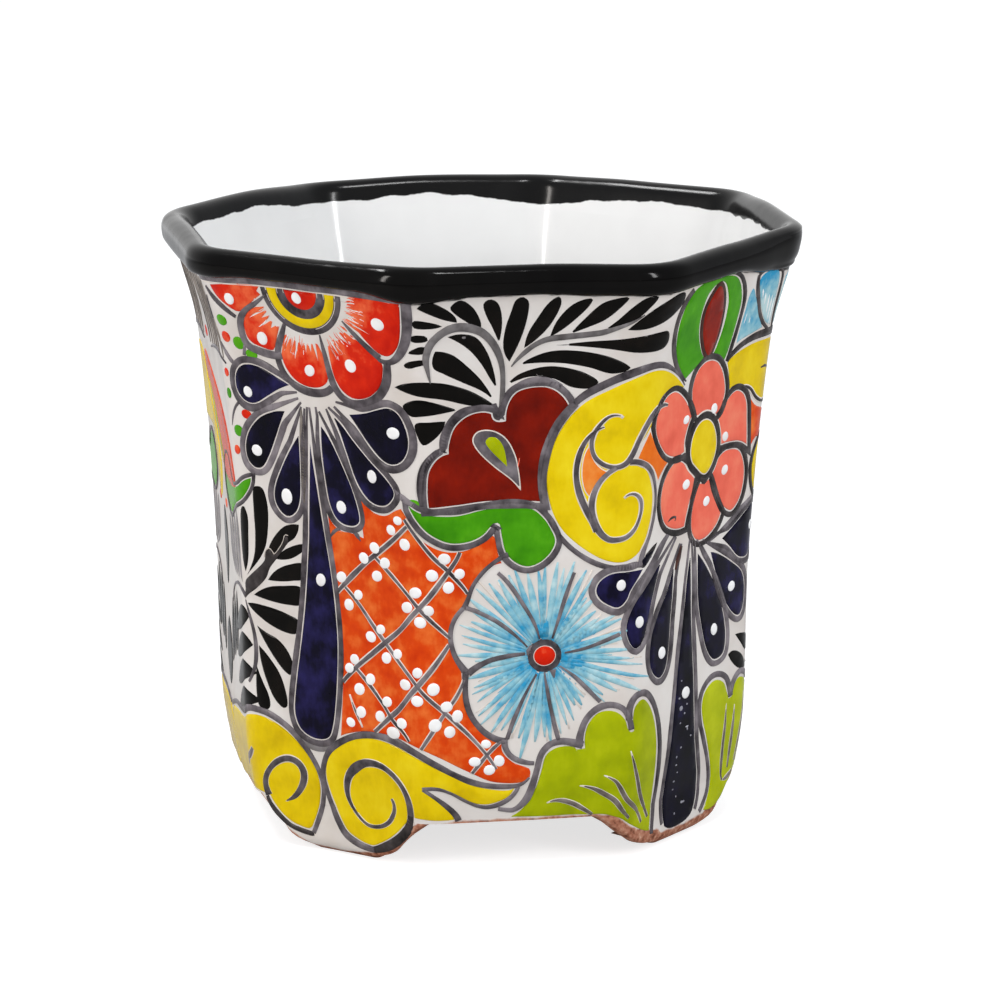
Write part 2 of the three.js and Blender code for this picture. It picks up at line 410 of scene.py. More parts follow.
def ribbon(paint, line, widths, closed=False, lift=LINE_LIFT, tones=None):
    """A brush stroke along a line. widths is one width, or several spread evenly along it."""
    line = np.asarray(line, float)
    n = len(line)
    at = np.linspace(0, 1, n)
    widths = np.atleast_1d(widths).astype(float)
    width = np.interp(at, np.linspace(0, 1, len(widths)), widths)
    start = dice.random() * 9
    travel = np.arange(n) * CURVE_STEP
    sway = 0.05 * np.sin(travel / 7 + start) + 0.04 * np.sin(travel / 2.9 + 2 * start)
    if closed:
        sway = sway * np.sin(np.pi * at) ** 0.5
    width = width * (1 + sway)
    side = sideways(line, closed)
    half = side * width[:, None] / 2
    shoulder = np.minimum(0.32, 0.5 * EDGE_ROUND / np.maximum(width, 0.2))[:, None] * half * 2
    rise = lift * np.clip(width / 1.2, 0.35, 1)
    left = np.column_stack([line - half, np.full(n, UNDER)])
    left_top = np.column_stack([line - half + shoulder, rise])
    right_top = np.column_stack([line + half - shoulder, rise])
    right = np.column_stack([line + half, np.full(n, UNDER)])
    points = np.stack([left, left_top, right_top, right], 1).reshape(-1, 3)
    faces = tube_faces(n, 4, closed_rings=closed)
    faces = [tuple(reversed(f)) for f in faces]
    if not closed:
        faces.append((0, 1, 2, 3))
        last = 4 * (n - 1)
        faces.append((last + 3, last + 2, last + 1, last))
    if tones is None:
        tones = dice.random() * 0.7 + 0.3 * (0.5 + 0.5 * np.sin(travel / 11 + start))
    tones = np.repeat(np.broadcast_to(tones, n), 4)
    paint_named(paint).add(points, tones, faces)


def dot(along, up, wide, tall, paint="white", lift=DOT_LIFT):
    """A raised oval spot."""
    around = 16
    rings = [(1.0, UNDER), (1.0, 0.1), (0.86, 0.72 * lift), (0.5, lift)]
    turn = np.arange(around) * 2 * np.pi / around
    skew = 1 + 0.05 * np.sin(2 * turn + dice.random() * 6)
    points = [
        (along + wide * size * s * math.cos(t), up + tall * size * s * math.sin(t), height)
        for size, height in rings for s, t in zip(skew, turn)
    ]
    points.append((along, up, lift * 1.02))
    points.append((along, up, UNDER))
    faces = tube_faces(len(rings), around)
    top, bottom = len(points) - 2, len(points) - 1
    last = (len(rings) - 1) * around
    for i in range(around):
        j = (i + 1) % around
        faces.append((last + i, last + j, top))
        faces.append((j, i, bottom))
    paint_named(paint).add(points, dice.random(), faces)


def dots(places, paint="white", lift=DOT_LIFT):
    for along, up, *size in places:
        dot(along, up, *(size or SPOT_SIZE), paint, lift)


# Marks made of the above

def fill(paint, points, lift=FILL_LIFT, tone=None):
    patch(paint, loop_through(points), lift, tone)


def outlined(paint, points, width=3.2, line="outline"):
    """A filled shape inside a brushed outline, with a fine white gap between."""
    loop = loop_through(points)
    patch(paint, loop)
    ribbon(line, loop + sideways(loop, True) * (HALO + width / 2), width, closed=True)


def brush(points, widths, line="outline", halo=0.0, lift=LINE_LIFT):
    """An open stroke. halo is how far a fine white edge shows beside it, on enamel."""
    path = line_through(points)
    if halo:
        wide = np.atleast_1d(widths) + 2 * halo
        ribbon("halo", path, wide, lift=0.8 * lift)
    ribbon(line, path, widths, lift=lift)


def fan_petal(points, hub, width=3.0, gap=HALO, worn_below=None):
    """A navy petal of a fan. points start at its tip, and its outline runs on from there to the hub.

    gap is how much white shows inside the outline. With worn_below, the outline is worn away
    under that height."""
    loop = loop_through([(*points[0][:2], C)] + points[1:])
    patch("navy", loop)
    edge = loop + sideways(loop, True) * (gap + width / 2)
    tip = np.array(points[0][:2])
    hub = np.array(hub, float)
    first = int(np.argmin(np.linalg.norm(loop - tip, axis=1)))
    edge = np.roll(edge, -first, axis=0)
    edge = edge[np.linalg.norm(edge - tip, axis=1) > 1.6 * width]
    spread = (edge[0] - edge[-1]) * 0.12
    path = even(np.vstack([hub + spread, edge, hub - spread]))
    if worn_below is None:
        ribbon("outline", path, [1.2, width, width, width, width, width, 1.2])
        return
    low = np.flatnonzero(path[:, 1] < worn_below)
    ribbon("outline", path[:low[0]], [1.2, width, width, 0.8 * width])
    ribbon("outline", path[low[-1] + 1:], [0.8 * width, width, width, 1.2])


def leaf(points, paint="black", tone=None):
    """A leaf painted straight on the white."""
    fill(paint, points, 0.9 * FILL_LIFT, tone)


def ragged(centre, start, stop, near, far, count, narrow=0.25):
    """Points along a torn edge: count teeth between two angles, about a centre.

    near and far give the distances of the notches and of the teeth's ends, as numbers or as
    functions of the angle. narrow is the width of a tooth's end, as a share of its pitch."""
    points = []
    pitch = (stop - start) / count
    value = lambda v, a: v(a) if callable(v) else v
    for i in range(count):
        middle = start + pitch * (i + 0.5 + dice.uniform(-0.12, 0.12))
        reach = value(far, middle) * dice.uniform(0.93, 1.03)
        notch = value(near, middle) * dice.uniform(0.85, 1.2)
        half = abs(pitch) * narrow * dice.uniform(0.7, 1.2) * math.copysign(1, pitch)
        for angle, radius in [
            (middle - half, reach), (middle + half, reach * dice.uniform(0.97, 1.0)),
            (middle + pitch / 2, notch),
        ]:
            turn = math.radians(angle)
            x, y = centre[0] + radius * math.cos(turn), centre[1] + radius * math.sin(turn)
            points.append((x, y, C))
    return points


def away_from(centre, near, far):
    """A shade that goes from 0 to 1 between two distances from a centre."""
    return lambda points: np.clip(
        (np.linalg.norm(points - np.array(centre), axis=1) - near) / (far - near), 0, 1
    )


def streaks(paint, centre, inner, reach, start, stop, count, widths, tones=(1.0, 0.2), lift=0.2):
    """Tapering brush streaks that run out from a centre. reach(angle) says how far."""
    for i in range(count):
        angle = math.radians(start + (stop - start) * (i + 0.5 + dice.uniform(-0.3, 0.3)) / count)
        near = inner * dice.uniform(0.95, 1.15)
        far = reach(math.degrees(angle)) * dice.uniform(0.82, 1.02)
        along = np.array([math.cos(angle), math.sin(angle)])
        aside = np.array([-along[1], along[0]]) * dice.uniform(-0.6, 0.6)
        middle = centre + along * (near + far) / 2 + aside
        path = line_through([centre + along * near, middle, centre + along * far], 3.0)
        if len(path) < 3:
            continue
        size = dice.uniform(0.75, 1.2)
        fade = np.linspace(tones[0], tones[1], len(path)) + dice.uniform(-0.15, 0.15)
        ribbon(paint, path, np.array(widths) * size, lift=lift, tones=np.clip(fade, 0, 1))


# Painting

def red_daisy():
    centre = np.array([-94.0, 239.5])
    top = 1.0

    def arc(r):
        """A little more than the lower half of a circle, ending on one level."""
        over = math.asin(top / r)
        turn = np.linspace(math.pi - over, 2 * math.pi + over, 42)
        return centre + r * np.stack([np.cos(turn), np.sin(turn)], -1)

    patch("outline", arc(18.2), 0.2, tone=0.1)
    patch("yellow", np.vstack([arc(15.4), arc(10.9)[::-1]]), 0.4)
    ribbon("halo", arc(15.7), 0.7, lift=0.34)
    ribbon("halo", arc(10.6), 0.6, lift=0.34)
    patch("red", arc(7.4), 0.4, tone=0.2)
    ribbon("halo", arc(7.7), 0.6, lift=0.34)
    shade = away_from(centre, 47, 23)
    petals = [
        [(-112.6, 240.2, C), (-118, 240.4), (-128, 239.4), (-137.5, 237.8, C), (-135, 233.5),
         (-131, 230.2), (-126, 227.7), (-122, 229.4), (-117, 233.4), (-112.8, 236.6, C)],
        [(-116.4, 230.8, C), (-121.2, 227.8), (-124.3, 223), (-124.5, 217.5), (-122.8, 214.8),
         (-119.5, 213.4), (-113, 212.2), (-111.3, 214), (-109.4, 218.5), (-106.8, 224, C)],
        [(-105.8, 219.6, C), (-108.2, 213), (-108.7, 210), (-107, 205), (-103, 200.5), (-97, 198.4),
         (-91, 199), (-87.3, 202), (-87, 208), (-89.7, 216.6, C)],
        [(-85.4, 216.6, C), (-84.3, 206), (-81.5, 200), (-77.5, 196.8), (-73, 196), (-67, 197.8),
         (-62, 202.5), (-60.2, 208), (-60.3, 213.3), (-66, 217.6), (-73, 223.6), (-75.8, 226.8, C)],
        [(-69.4, 225.2, C), (-62.5, 218), (-58, 216.3), (-54.5, 218), (-51.7, 223), (-50.6, 231),
         (-50.4, 239.8, C), (-60, 240.6), (-72, 240.6, C)],
    ]
    angle_of = lambda p: math.degrees(math.atan2(p[1] - centre[1], p[0] - centre[0])) % 360
    for petal, teeth in zip(petals, (1, 5, 8, 9, 9)):
        start, stop = angle_of(petal[-1]), angle_of(petal[0])
        edge = ragged(centre, start + 360 * (start < stop), stop, 27.5, 21.8, teeth, 0.12)[:-1]
        fill("red", petal + edge, tone=shade)
    torn_edges = [(238, 262, 14), (293, 322, 17), (331, 362, 18), (205, 219, 7), (178, 194, 7)]
    for start, stop, count in torn_edges:
        streaks("red", centre, 20.4, lambda _: 28.5, start, stop, count, [0.2, 0.5, 0.9, 0.8],
                (1.25, 0.8), lift=0.24)
        streaks("white", centre, 22.5, lambda _: 31, start, stop, count - 3, [0.3, 0.8, 0.6, 0.2],
                (0.5, 0.5), lift=0.28)
    for points, widths in [
        ([(-141.5, 236.5), (-138, 233), (-133, 229), (-127.5, 225.2)], [1.6, 3.0, 3.0, 2.0]),
        ([(-110.6, 236.8), (-116, 232.6), (-121.6, 229), (-125.4, 224.4), (-126.4, 217.6), (-124.6, 213),
          (-119.6, 211.2), (-113, 210.2), (-108.6, 210.6)], [0.8, 2.6, 3.2, 3.4, 3.6, 3.8]),
        ([(-104.4, 225), (-107, 219.6), (-109.6, 214.4), (-110.6, 208.6), (-108.4, 202.8), (-104, 198.6),
          (-97.4, 196.3), (-90, 196.6), (-85.4, 199.4)], [1.6, 3.2, 3.0, 3.2, 3.8, 3.8, 3.2]),
        ([(-88.4, 222), (-87.4, 213.5), (-86, 206), (-83.8, 199.6), (-80.2, 195.6), (-75, 193.8),
          (-68, 195), (-62.2, 199), (-58.6, 205), (-57.8, 212), (-58, 214.6)],
         [0.9, 2.4, 3.2, 3.6, 3.9, 4.2, 4.2, 3.6]),
        ([(-76.6, 229.6), (-71.6, 224.2), (-66.6, 219.5), (-61, 215.2)], [0.8, 2.2, 2.6, 3.0]),
        ([(-61.6, 214.6), (-56.6, 213.8), (-52.4, 217), (-49.2, 223.6), (-48, 231), (-48, 240.6)],
         [2.0, 3.4, 4.0, 4.2, 4.2]),
    ]:
        brush(points, widths)
    dots([(-128.2, 233, 2.4, 2.6), (-116.8, 217.1, 2.7, 3.0), (-95.6, 205.6, 2.5, 2.7),
          (-75.3, 210.1, 2.8, 3.0), (-60.3, 230.1, 3.0, 2.9), (-96, 237.1, 2.4, 2.7)])
    rim = [
        (-150, 239.5), (-128, 241.3), (-110, 242.3), (-92, 242.4), (-76, 242.3), (-60, 241.6), (-47, 240.6),
    ]
    brush(rim, [2.6, 3.0, 3.2, 3.2, 3.2, 3.0, 2.2], lift=0.3)
    ribbon("halo", line_through([(x, y - 1.9) for x, y in rim]), [0.3, 0.6, 0.6, 0.6, 0.4], lift=0.36)


def berries():
    dots([(-136.5, 222.5, 3.4, 2.5), (-129.3, 213.5, 2.8, 2.9), (-123.7, 209.3, 2.8, 2.2),
          (-136, 174.5, 3.2, 2.6), (-141, 190, 2.2, 2.4)], paint="green", lift=0.3)
    dots([(-136.5, 215.2, 3.1, 2.3), (-130, 182.5, 2.6, 2.1), (-138.5, 165.8, 2.5, 2.0),
          (-141, 199, 2.2, 2.0)], paint="red", lift=0.3)
    brush([(-142, 212), (-138, 207.5), (-134.5, 204.5)], [1, 2.4, 2.2])
    brush([(-134, 187), (-138, 182.5), (-141, 176)], [1.5, 1.4, 0.7])
    brush([(-126.5, 213), (-127.5, 208.5)], [1.4, 1.8])


def navy_fan():
    hub = (-99.5, 192.5)
    fan_petal([
        (-106.5, 198), (-112, 200.5), (-119, 203.6), (-125, 204.7), (-130, 203.5), (-133.5, 199.5),
        (-134.2, 194), (-131.5, 189.7), (-128, 187.9), (-124, 188.4), (-118, 192), (-112, 195.6),
    ], (-103, 196.3), 3.4)
    fan_petal([
        (-110, 186.3), (-116, 185.3), (-123, 182), (-129, 176), (-132, 169), (-131.5, 163),
        (-128, 159.8), (-124, 160.5), (-120, 166), (-116, 174), (-112, 182.5),
    ], (-102, 192), 3.2)
    fan_petal([
        (-104, 176.5), (-108, 171), (-113, 163), (-118, 153), (-118.8, 147), (-116.5, 142.5),
        (-112.5, 140.4), (-108, 143), (-105.5, 149), (-104.5, 160),
    ], (-100.7, 189), 3.0)
    fan_petal([
        (-98.4, 174), (-99.4, 163), (-100.4, 152), (-101.4, 140), (-102.3, 130), (-103.6, 120),
        (-104.8, 110), (-106.2, 100), (-107.8, 90), (-109.6, 80), (-111.3, 70), (-112.6, 61),
        (-112.8, 54), (-110.3, 48), (-105, 45), (-99, 44.6), (-94.8, 46.5), (-92.6, 52), (-91, 61),
        (-89.9, 71), (-89.2, 81), (-89.1, 91), (-89.7, 101), (-90.6, 111), (-91.8, 121),
        (-93.2, 131), (-94.8, 142), (-96.4, 155), (-97.6, 165),
    ], (-98, 189.5), 3.0)
    fan_petal([
        (-92.3, 182), (-92.6, 170), (-91.5, 157), (-90, 148.5), (-87, 142.8), (-82.5, 140.6),
        (-77.5, 141), (-75.3, 144), (-78, 155), (-83.5, 167.5), (-88.5, 177),
    ], (-93.5, 189.2), 2.8)
    fan_petal([
        (-86, 187.3), (-83, 180.5), (-80, 171.5), (-76, 160.5), (-71, 153.7), (-66, 151.3),
        (-60.8, 152.2), (-57.2, 157.3), (-60.5, 162.5), (-69, 170), (-77, 178), (-82, 183.8),
    ], (-88.5, 190.3), 3.0)
    fan_petal([
        (-77.8, 188.8), (-70, 190.3), (-64, 192.4), (-58.5, 193.8), (-54, 192), (-51, 186.5),
        (-49.8, 180), (-51, 174.5), (-54, 171), (-58.5, 169.8), (-63, 171.6), (-69, 177.5), (-74, 184),
    ], (-84.5, 192.4), 3.5)
    brush([(-101.6, 189), (-102.2, 174), (-102.6, 160), (-103.4, 145)], [1.0, 3.2, 3.0, 0.8],
          line="vein")
    brush([(-91, 133.5), (-88.5, 137), (-85.5, 138.6)], [0.9, 2.0, 1.6])
    brush([(-79, 138.2), (-77.5, 137.5), (-75, 134.5)], [1.6, 2.2, 0.8])
    dots([
        (-127.8, 192.6, 2.4, 2.4), (-126.1, 167.4, 2.7, 2.7), (-112.2, 149.1, 3.1, 3.5),
        (-96.8, 114.8, 2.6, 3.0), (-84.2, 148.1, 2.5, 3.0), (-67.9, 163.4, 2.5, 2.9),
        (-56.5, 183.5, 3.1, 2.8),
    ])


def side_spray():
    """Black leaves on thin stems beside the long navy stem."""
    fill("charcoal", [
        (-140.2, 100.2, C), (-139, 104.4), (-138.8, 108.6), (-135, 111.8), (-130, 115.8),
        (-126.6, 119.4), (-126, 122.6), (-124.4, 124.6), (-122.4, 124.2), (-121.2, 122.6, C),
        (-118.4, 125.4), (-116, 128.4), (-114.8, 131.4), (-113.2, 131.4), (-113, 129.4), (-115, 126.8),
        (-118, 123.2), (-120.4, 120.4), (-124, 116.2), (-126, 112), (-128.4, 109.2), (-132.4, 105.8),
        (-137, 102.8),
    ], 0.5)
    brush([(-139.5, 100), (-136.3, 93.5), (-133.6, 86), (-132.8, 78), (-134, 71), (-138, 64.5)],
          [0.8, 2.0, 2.6, 2.2, 1.6])
    leaf([(-124.6, 123.6, C), (-122.4, 128), (-119, 132.2), (-115, 135.6), (-111, 137.1),
          (-107, 137.4, C), (-107.6, 134.6), (-109.6, 131.4), (-112.6, 129.2), (-116, 127),
          (-120.8, 122.4, C)])
    leaf([(-120.3, 120.6, C), (-117, 124.3), (-111, 127.6), (-105, 129.2), (-104.8, 127),
          (-109, 123.6), (-114, 121.3)])
    leaf([(-125.3, 110.8, C), (-121, 115.5), (-114, 119), (-105.6, 120.5), (-106, 114), (-112, 112.2),
          (-119, 111)])
    leaf([(-133.3, 103.3, C), (-126, 107.5), (-118, 109.2), (-107.6, 109.8), (-107.9, 102.5),
          (-115, 101.3), (-124, 101.7)])
    leaf([(-138, 98.9, C), (-132, 99.6), (-122, 98.6), (-114, 96.8), (-109.8, 95), (-110.8, 89.4),
          (-117, 89), (-125, 91.3), (-132, 95)])
    leaf([(-132, 90, C), (-127, 87.6), (-121, 85.4), (-116, 81), (-113.1, 75), (-114.4, 70.6),
          (-118, 72), (-123, 77), (-128, 83.4)])
    leaf([(-131.2, 81.5, C), (-126, 77), (-120.5, 70.5), (-117.5, 63), (-116.8, 57), (-119.3, 55.6),
          (-124, 59.5), (-128, 67.5), (-130.4, 75)])
    leaf([(-132.8, 72.5, C), (-130, 66.5), (-126.6, 60), (-126, 55.4), (-128, 53.6), (-132, 54.8),
          (-133.3, 61)])
    leaf([(-137.8, 111, C), (-132.6, 115.8), (-128.4, 120.6), (-125.2, 126.6), (-123.4, 135.5),
          (-123, 143.5), (-124.6, 150.3), (-127, 151.6), (-130, 150.4), (-130.7, 141), (-130.8, 130),
          (-132.4, 120)])
    leaf([(-138.6, 112.5, C), (-136, 119), (-135, 129), (-134.6, 137.5), (-137, 141.4),
          (-140, 139), (-141.2, 128), (-140.8, 118)])
    brush([(-126.6, 120.6), (-125.8, 123.6), (-124.2, 125), (-122.4, 124.4), (-121.2, 122.8),
           (-118.2, 125.8), (-116, 129), (-114.8, 131.9), (-113, 131.9)],
           [0.4, 0.7, 0.7, 0.5, 0.7, 0.7, 0.7], line="halo",
          lift=0.56)
    for i in range(4):
        up = 97 - 12 * i
        leaf([(-137 + 2.4 * i, up - 4, C), (-141, up - 0.5), (-148, up - 1), (-156, up - 7),
              (-160, up - 14), (-152, up - 13), (-143, up - 9)])
    for i in range(4):
        along = -146.5 - 6.8 * i
        leaf([(along + 4 + 2.2 * i, 107, C), (along + 3, 118), (along + 2.2, 132 - 2 * i),
              (along - 1, 138 - 2 * i), (along - 2.6, 128 - i), (along - 1, 114)], "stem", 1.0)
    brush([(-139.5, 102), (-146, 104.5), (-156, 104), (-165, 100), (-171, 92)], [2.4, 1.8, 1.6, 0.7])
    for i in range(3):
        along = -160 - 7 * i
        leaf([(along + 1, 100 - 3 * i, C), (along + 3.5, 88 - 3 * i), (along + 1, 76 - 4 * i),
              (along - 3, 72 - 4 * i), (along - 3.5, 86 - 3 * i)])


def lattice():
    fill("orange", [
        (-88.6, 47.8, C), (-87.6, 58), (-86.6, 72), (-86.2, 86), (-87.2, 100), (-88.4, 115),
        (-90.2, 130), (-91.4, 143.5, C), (-88.6, 139.8), (-85, 137.7), (-80, 137.4), (-73.6, 136, C),
        (-74.6, 144), (-77, 156.6, C), (-73, 151.8), (-68, 147.9), (-62, 147.2), (-57, 150),
        (-54, 151.2, C), (-51.4, 147.5), (-48, 141.6), (-43, 136.8), (-37, 133.8), (-31, 133),
        (-24, 134.6), (-17, 139.5), (-14.5, 138.3, C), (-13.4, 132), (-11.8, 127.4, C), (-17.5, 125.3),
        (-23.5, 119), (-26.6, 112.5), (-30.5, 107, C), (-33.3, 101), (-33.9, 95), (-32.3, 88.5),
        (-29, 82.5, C), (-28.6, 76), (-27.5, 66), (-24, 59), (-18, 53), (-11.5, 49.6, C), (-11, 45.5),
        (-6.5, 41), (-1.5, 38.9), (0.9, 37.5), (0.6, 33.6), (-3, 31.9), (-10, 31.9), (-17, 33.2),
        (-24, 36.6), (-31, 40.2), (-39, 44.6), (-48, 48.6), (-57, 51.3), (-66, 52.2), (-75, 51.9),
        (-83, 50),
    ])
    crossing = [
        [(-88, 111), (-80, 119), (-72, 126.3), (-66, 131), (-58, 137.7), (-51.5, 144)],
        [(-86.5, 72), (-79, 79.5), (-70, 87), (-64, 92), (-56, 98.7), (-50, 105.5), (-43, 113.4),
         (-37, 121.4), (-31.5, 129), (-29.5, 133)],
        [(-70, 52.5), (-63, 59), (-57, 64.3), (-51, 71.6), (-45.5, 78), (-40, 85), (-34.2, 93.4)],
        [(-46.5, 48), (-41.3, 56), (-36, 64), (-31, 71), (-27.8, 78)],
        [(-24.5, 37), (-19, 43.7), (-15, 48), (-11, 51)],
        [(-84, 113.5), (-77, 107), (-69.5, 98.4), (-64, 92.5), (-58, 86.2), (-51, 79), (-45, 72),
         (-37, 64.7), (-31, 59), (-25, 53), (-18.5, 45.4), (-14, 38.5)],
        [(-69, 129.6), (-60, 122), (-52, 114.7), (-46.5, 108.5), (-40, 102), (-33.6, 96)],
        [(-80, 79.5), (-72, 72.5), (-65, 65), (-60.3, 59), (-55, 54.6), (-52, 51)],
        [(-52.5, 147), (-46.5, 138.7), (-40.5, 131), (-35, 125.6), (-29, 118.8), (-26.3, 115)],
    ]
    for number, points in enumerate(crossing):
        wide = 2.6 if number < 3 else 2.0
        brush(points, [0.8 * wide, wide, 0.9 * wide, wide, 0.7 * wide], halo=HALO)
    brush([(-83, 67), (-80.5, 61), (-76.5, 53.5)], [0.6, 1.4, 0.6], halo=HALO)
    dots([
        (-73.7, 127.4), (-63, 126.7), (-67.3, 120.5), (-68, 132.6), (-55.8, 146, 2.2, 2.1),
        (-59.3, 141.5, 2.4, 2.3), (-52.7, 136.1), (-36, 130.4), (-41.2, 123.4),
        (-29.7, 123.7, 2.3, 2.5), (-34.4, 118), (-48.3, 115.7), (-52.3, 109), (-42.8, 108.2, 2.3, 2.4),
        (-46.4, 103), (-85.8, 117.6), (-77.3, 111, 2.3, 2.4), (-82.3, 106.1), (-66, 97.6, 2.4, 2.3),
        (-71.2, 93.7), (-57.4, 88.2, 2.3, 2.4), (-63.2, 85.7), (-80, 82.7, 2.6, 2.3),
        (-82.8, 78.5, 2.6, 2.3), (-71.8, 75.2), (-77.7, 70.1, 2.8, 2.9), (-47.8, 81.2, 2.4, 2.3),
        (-53.7, 75.5), (-41, 74.3, 2.7, 3), (-48, 69), (-63.2, 66.7, 2.6, 2.5), (-67, 59.8, 2.7, 2.5),
        (-55.7, 58.4), (-60.2, 53.6, 3.5, 2.9), (-35.4, 66.6), (-40.3, 58.7, 3, 2.9),
        (-30.8, 62.3, 2.6, 2.8), (-34.1, 55.6), (-18.4, 49.7, 2.3, 2), (-23.3, 42.1, 2.7, 2.3),
        (-12.7, 42.1, 2.5, 2.6), (-16.9, 38.2, 2.8, 2.3), (-77.1, 60.1, 2.8, 2.7),
        (-82.8, 54.8, 2.4, 2.3),
    ])


def foot_scrolls():
    """Two yellow scrolls that sweep over the left foot."""
    fill("yellow", [
        (-186, 40), (-172, 44), (-158, 45), (-147, 46.5), (-142, 48.8), (-136, 50.3), (-130, 50.3),
        (-122, 47.8), (-115, 43.8), (-109, 38.6), (-104.7, 33.2), (-102.6, 27.5), (-102.3, 21),
        (-104.2, 13), (-106.6, 6.8), (-109, 3.2), (-115, 3.6), (-119.4, 4.8), (-124.2, 7.4),
        (-128.6, 11.2), (-131.4, 14.8, C), (-138, 15.4), (-160, 15.4), (-186, 15.6),
    ])
    brush([(-186, 43), (-172, 47), (-158, 48.2), (-147, 49.5), (-140, 52.4), (-134, 53), (-127, 52),
           (-119, 48.6), (-112, 43.7), (-105.8, 37), (-101.8, 30), (-100.4, 24), (-100.8, 19.5),
           (-102.5, 12.8), (-105, 6.2), (-107, 1.6)], [2.4, 2.6, 2.8, 3.2, 3.4, 3.2, 3.0, 2.8, 2.8,
                                                       2.4])
    brush([(-107, 1.3), (-108.5, 1), (-115, 1.8), (-120, 3), (-125, 5.8), (-130, 9.8), (-133, 14)],
          [2.4, 2.6, 2.6, 2.5, 2.0], line="charcoal")
    brush([(-122.5, 13.5), (-118, 15.6), (-114, 19.3), (-111, 24), (-110.3, 28.5), (-112.6, 32),
           (-117, 33.4), (-122, 32.2), (-127, 29), (-131.3, 24), (-132.8, 19.5), (-131.8, 14.8)],
          [0.8, 2.8, 3.6, 4.0, 3.6, 3.0, 2.8, 3.2, 4.2], halo=0.25)
    brush([(-151, 24), (-146, 29), (-142, 31), (-138.3, 34.7)], [0.9, 2.6, 3.2, 2.2], halo=HALO)
    fill("yellow", [
        (-98.2, 28), (-97.6, 33), (-95.8, 37.3), (-92, 41.5), (-84, 46.4), (-76, 48.8), (-68, 49.2),
        (-58, 47.5), (-48, 43.8), (-38, 38.6), (-30, 34.7), (-22, 30.9), (-14, 29), (-8.5, 28.6),
        (-5.8, 29.6, C), (-8.6, 25.6), (-14, 23.2), (-19, 22.5), (-25, 23.8), (-31, 27.2), (-37, 29.6),
        (-46, 30, C), (-43, 27.4), (-38, 23.7), (-34.2, 20), (-32.6, 16.2, C), (-38, 16), (-46, 16.4),
        (-51.4, 17, C), (-55.4, 13.8), (-59.8, 9.4), (-64.4, 5.8), (-69.2, 3), (-73.8, 1.1), (-78, 1.4),
        (-82.6, 2.7), (-87.8, 5.2), (-91.6, 9.8), (-94.8, 16), (-97, 22),
    ])
    brush([(-73.3, -0.9), (-78.3, -0.5), (-83.3, 0.75), (-89.2, 3.7), (-93.3, 8.7), (-96.7, 15.3),
           (-98.8, 22), (-99.8, 27.5), (-98.8, 33.5),
           (-95.3, 40), (-89, 45), (-80, 49.2), (-70, 50.9), (-60, 50), (-50, 46.6), (-42, 42.3),
           (-33, 37), (-25, 33.1), (-17, 31), (-8, 30.3), (-3, 31), (0.6, 34)],
          [3.2, 3.4, 3.0, 2.8, 3.2, 3.4, 3.6, 3.0, 3.0, 2.6, 1.6])
    brush([(-52.7, 17.5), (-54, 12.2), (-58, 7.4), (-63, 3.6), (-68.2, 0.9), (-73.6, -0.9)],
          [3.4, 4.2, 4.6, 4.4, 3.6], line="charcoal")
    brush([(-112.8, 48), (-110, 43.4), (-104, 41.4), (-97.6, 41.6), (-93.4, 44.8), (-91.2, 51)],
          [2.0, 4.2, 5.0, 4.6, 3.6, 2.0], line="stem", lift=0.28)
    brush([(-46.3, 30.3), (-40, 30.6), (-34, 28.4), (-28, 24.8), (-22, 22), (-17, 21.3), (-11, 22.9),
           (-6.5, 26), (-4, 30)], [2.2, 2.2, 1.6, 1.6, 1.8, 2.2, 2.4, 2.2])
    brush([(-46.3, 30.2), (-41, 26.6), (-35.5, 22), (-31.8, 18), (-30.8, 15.8)], [1.8, 2.0, 2.8, 3.6])
    brush([(-62.6, 23.8), (-61.4, 20.8), (-62, 17), (-65, 12.6), (-70, 10), (-76, 9.6), (-81, 12.2),
           (-85.4, 17), (-87.2, 23), (-85.6, 30), (-81, 35), (-75, 38), (-68, 38), (-62, 35.4),
           (-57, 31), (-53.8, 25.4), (-52.6, 19), (-53.2, 13.6)],
          [1.6, 2.6, 2.1, 1.8, 2.2, 3.6, 4.6, 3.8, 3.0, 2.8, 3.4, 3.8], halo=0.25)


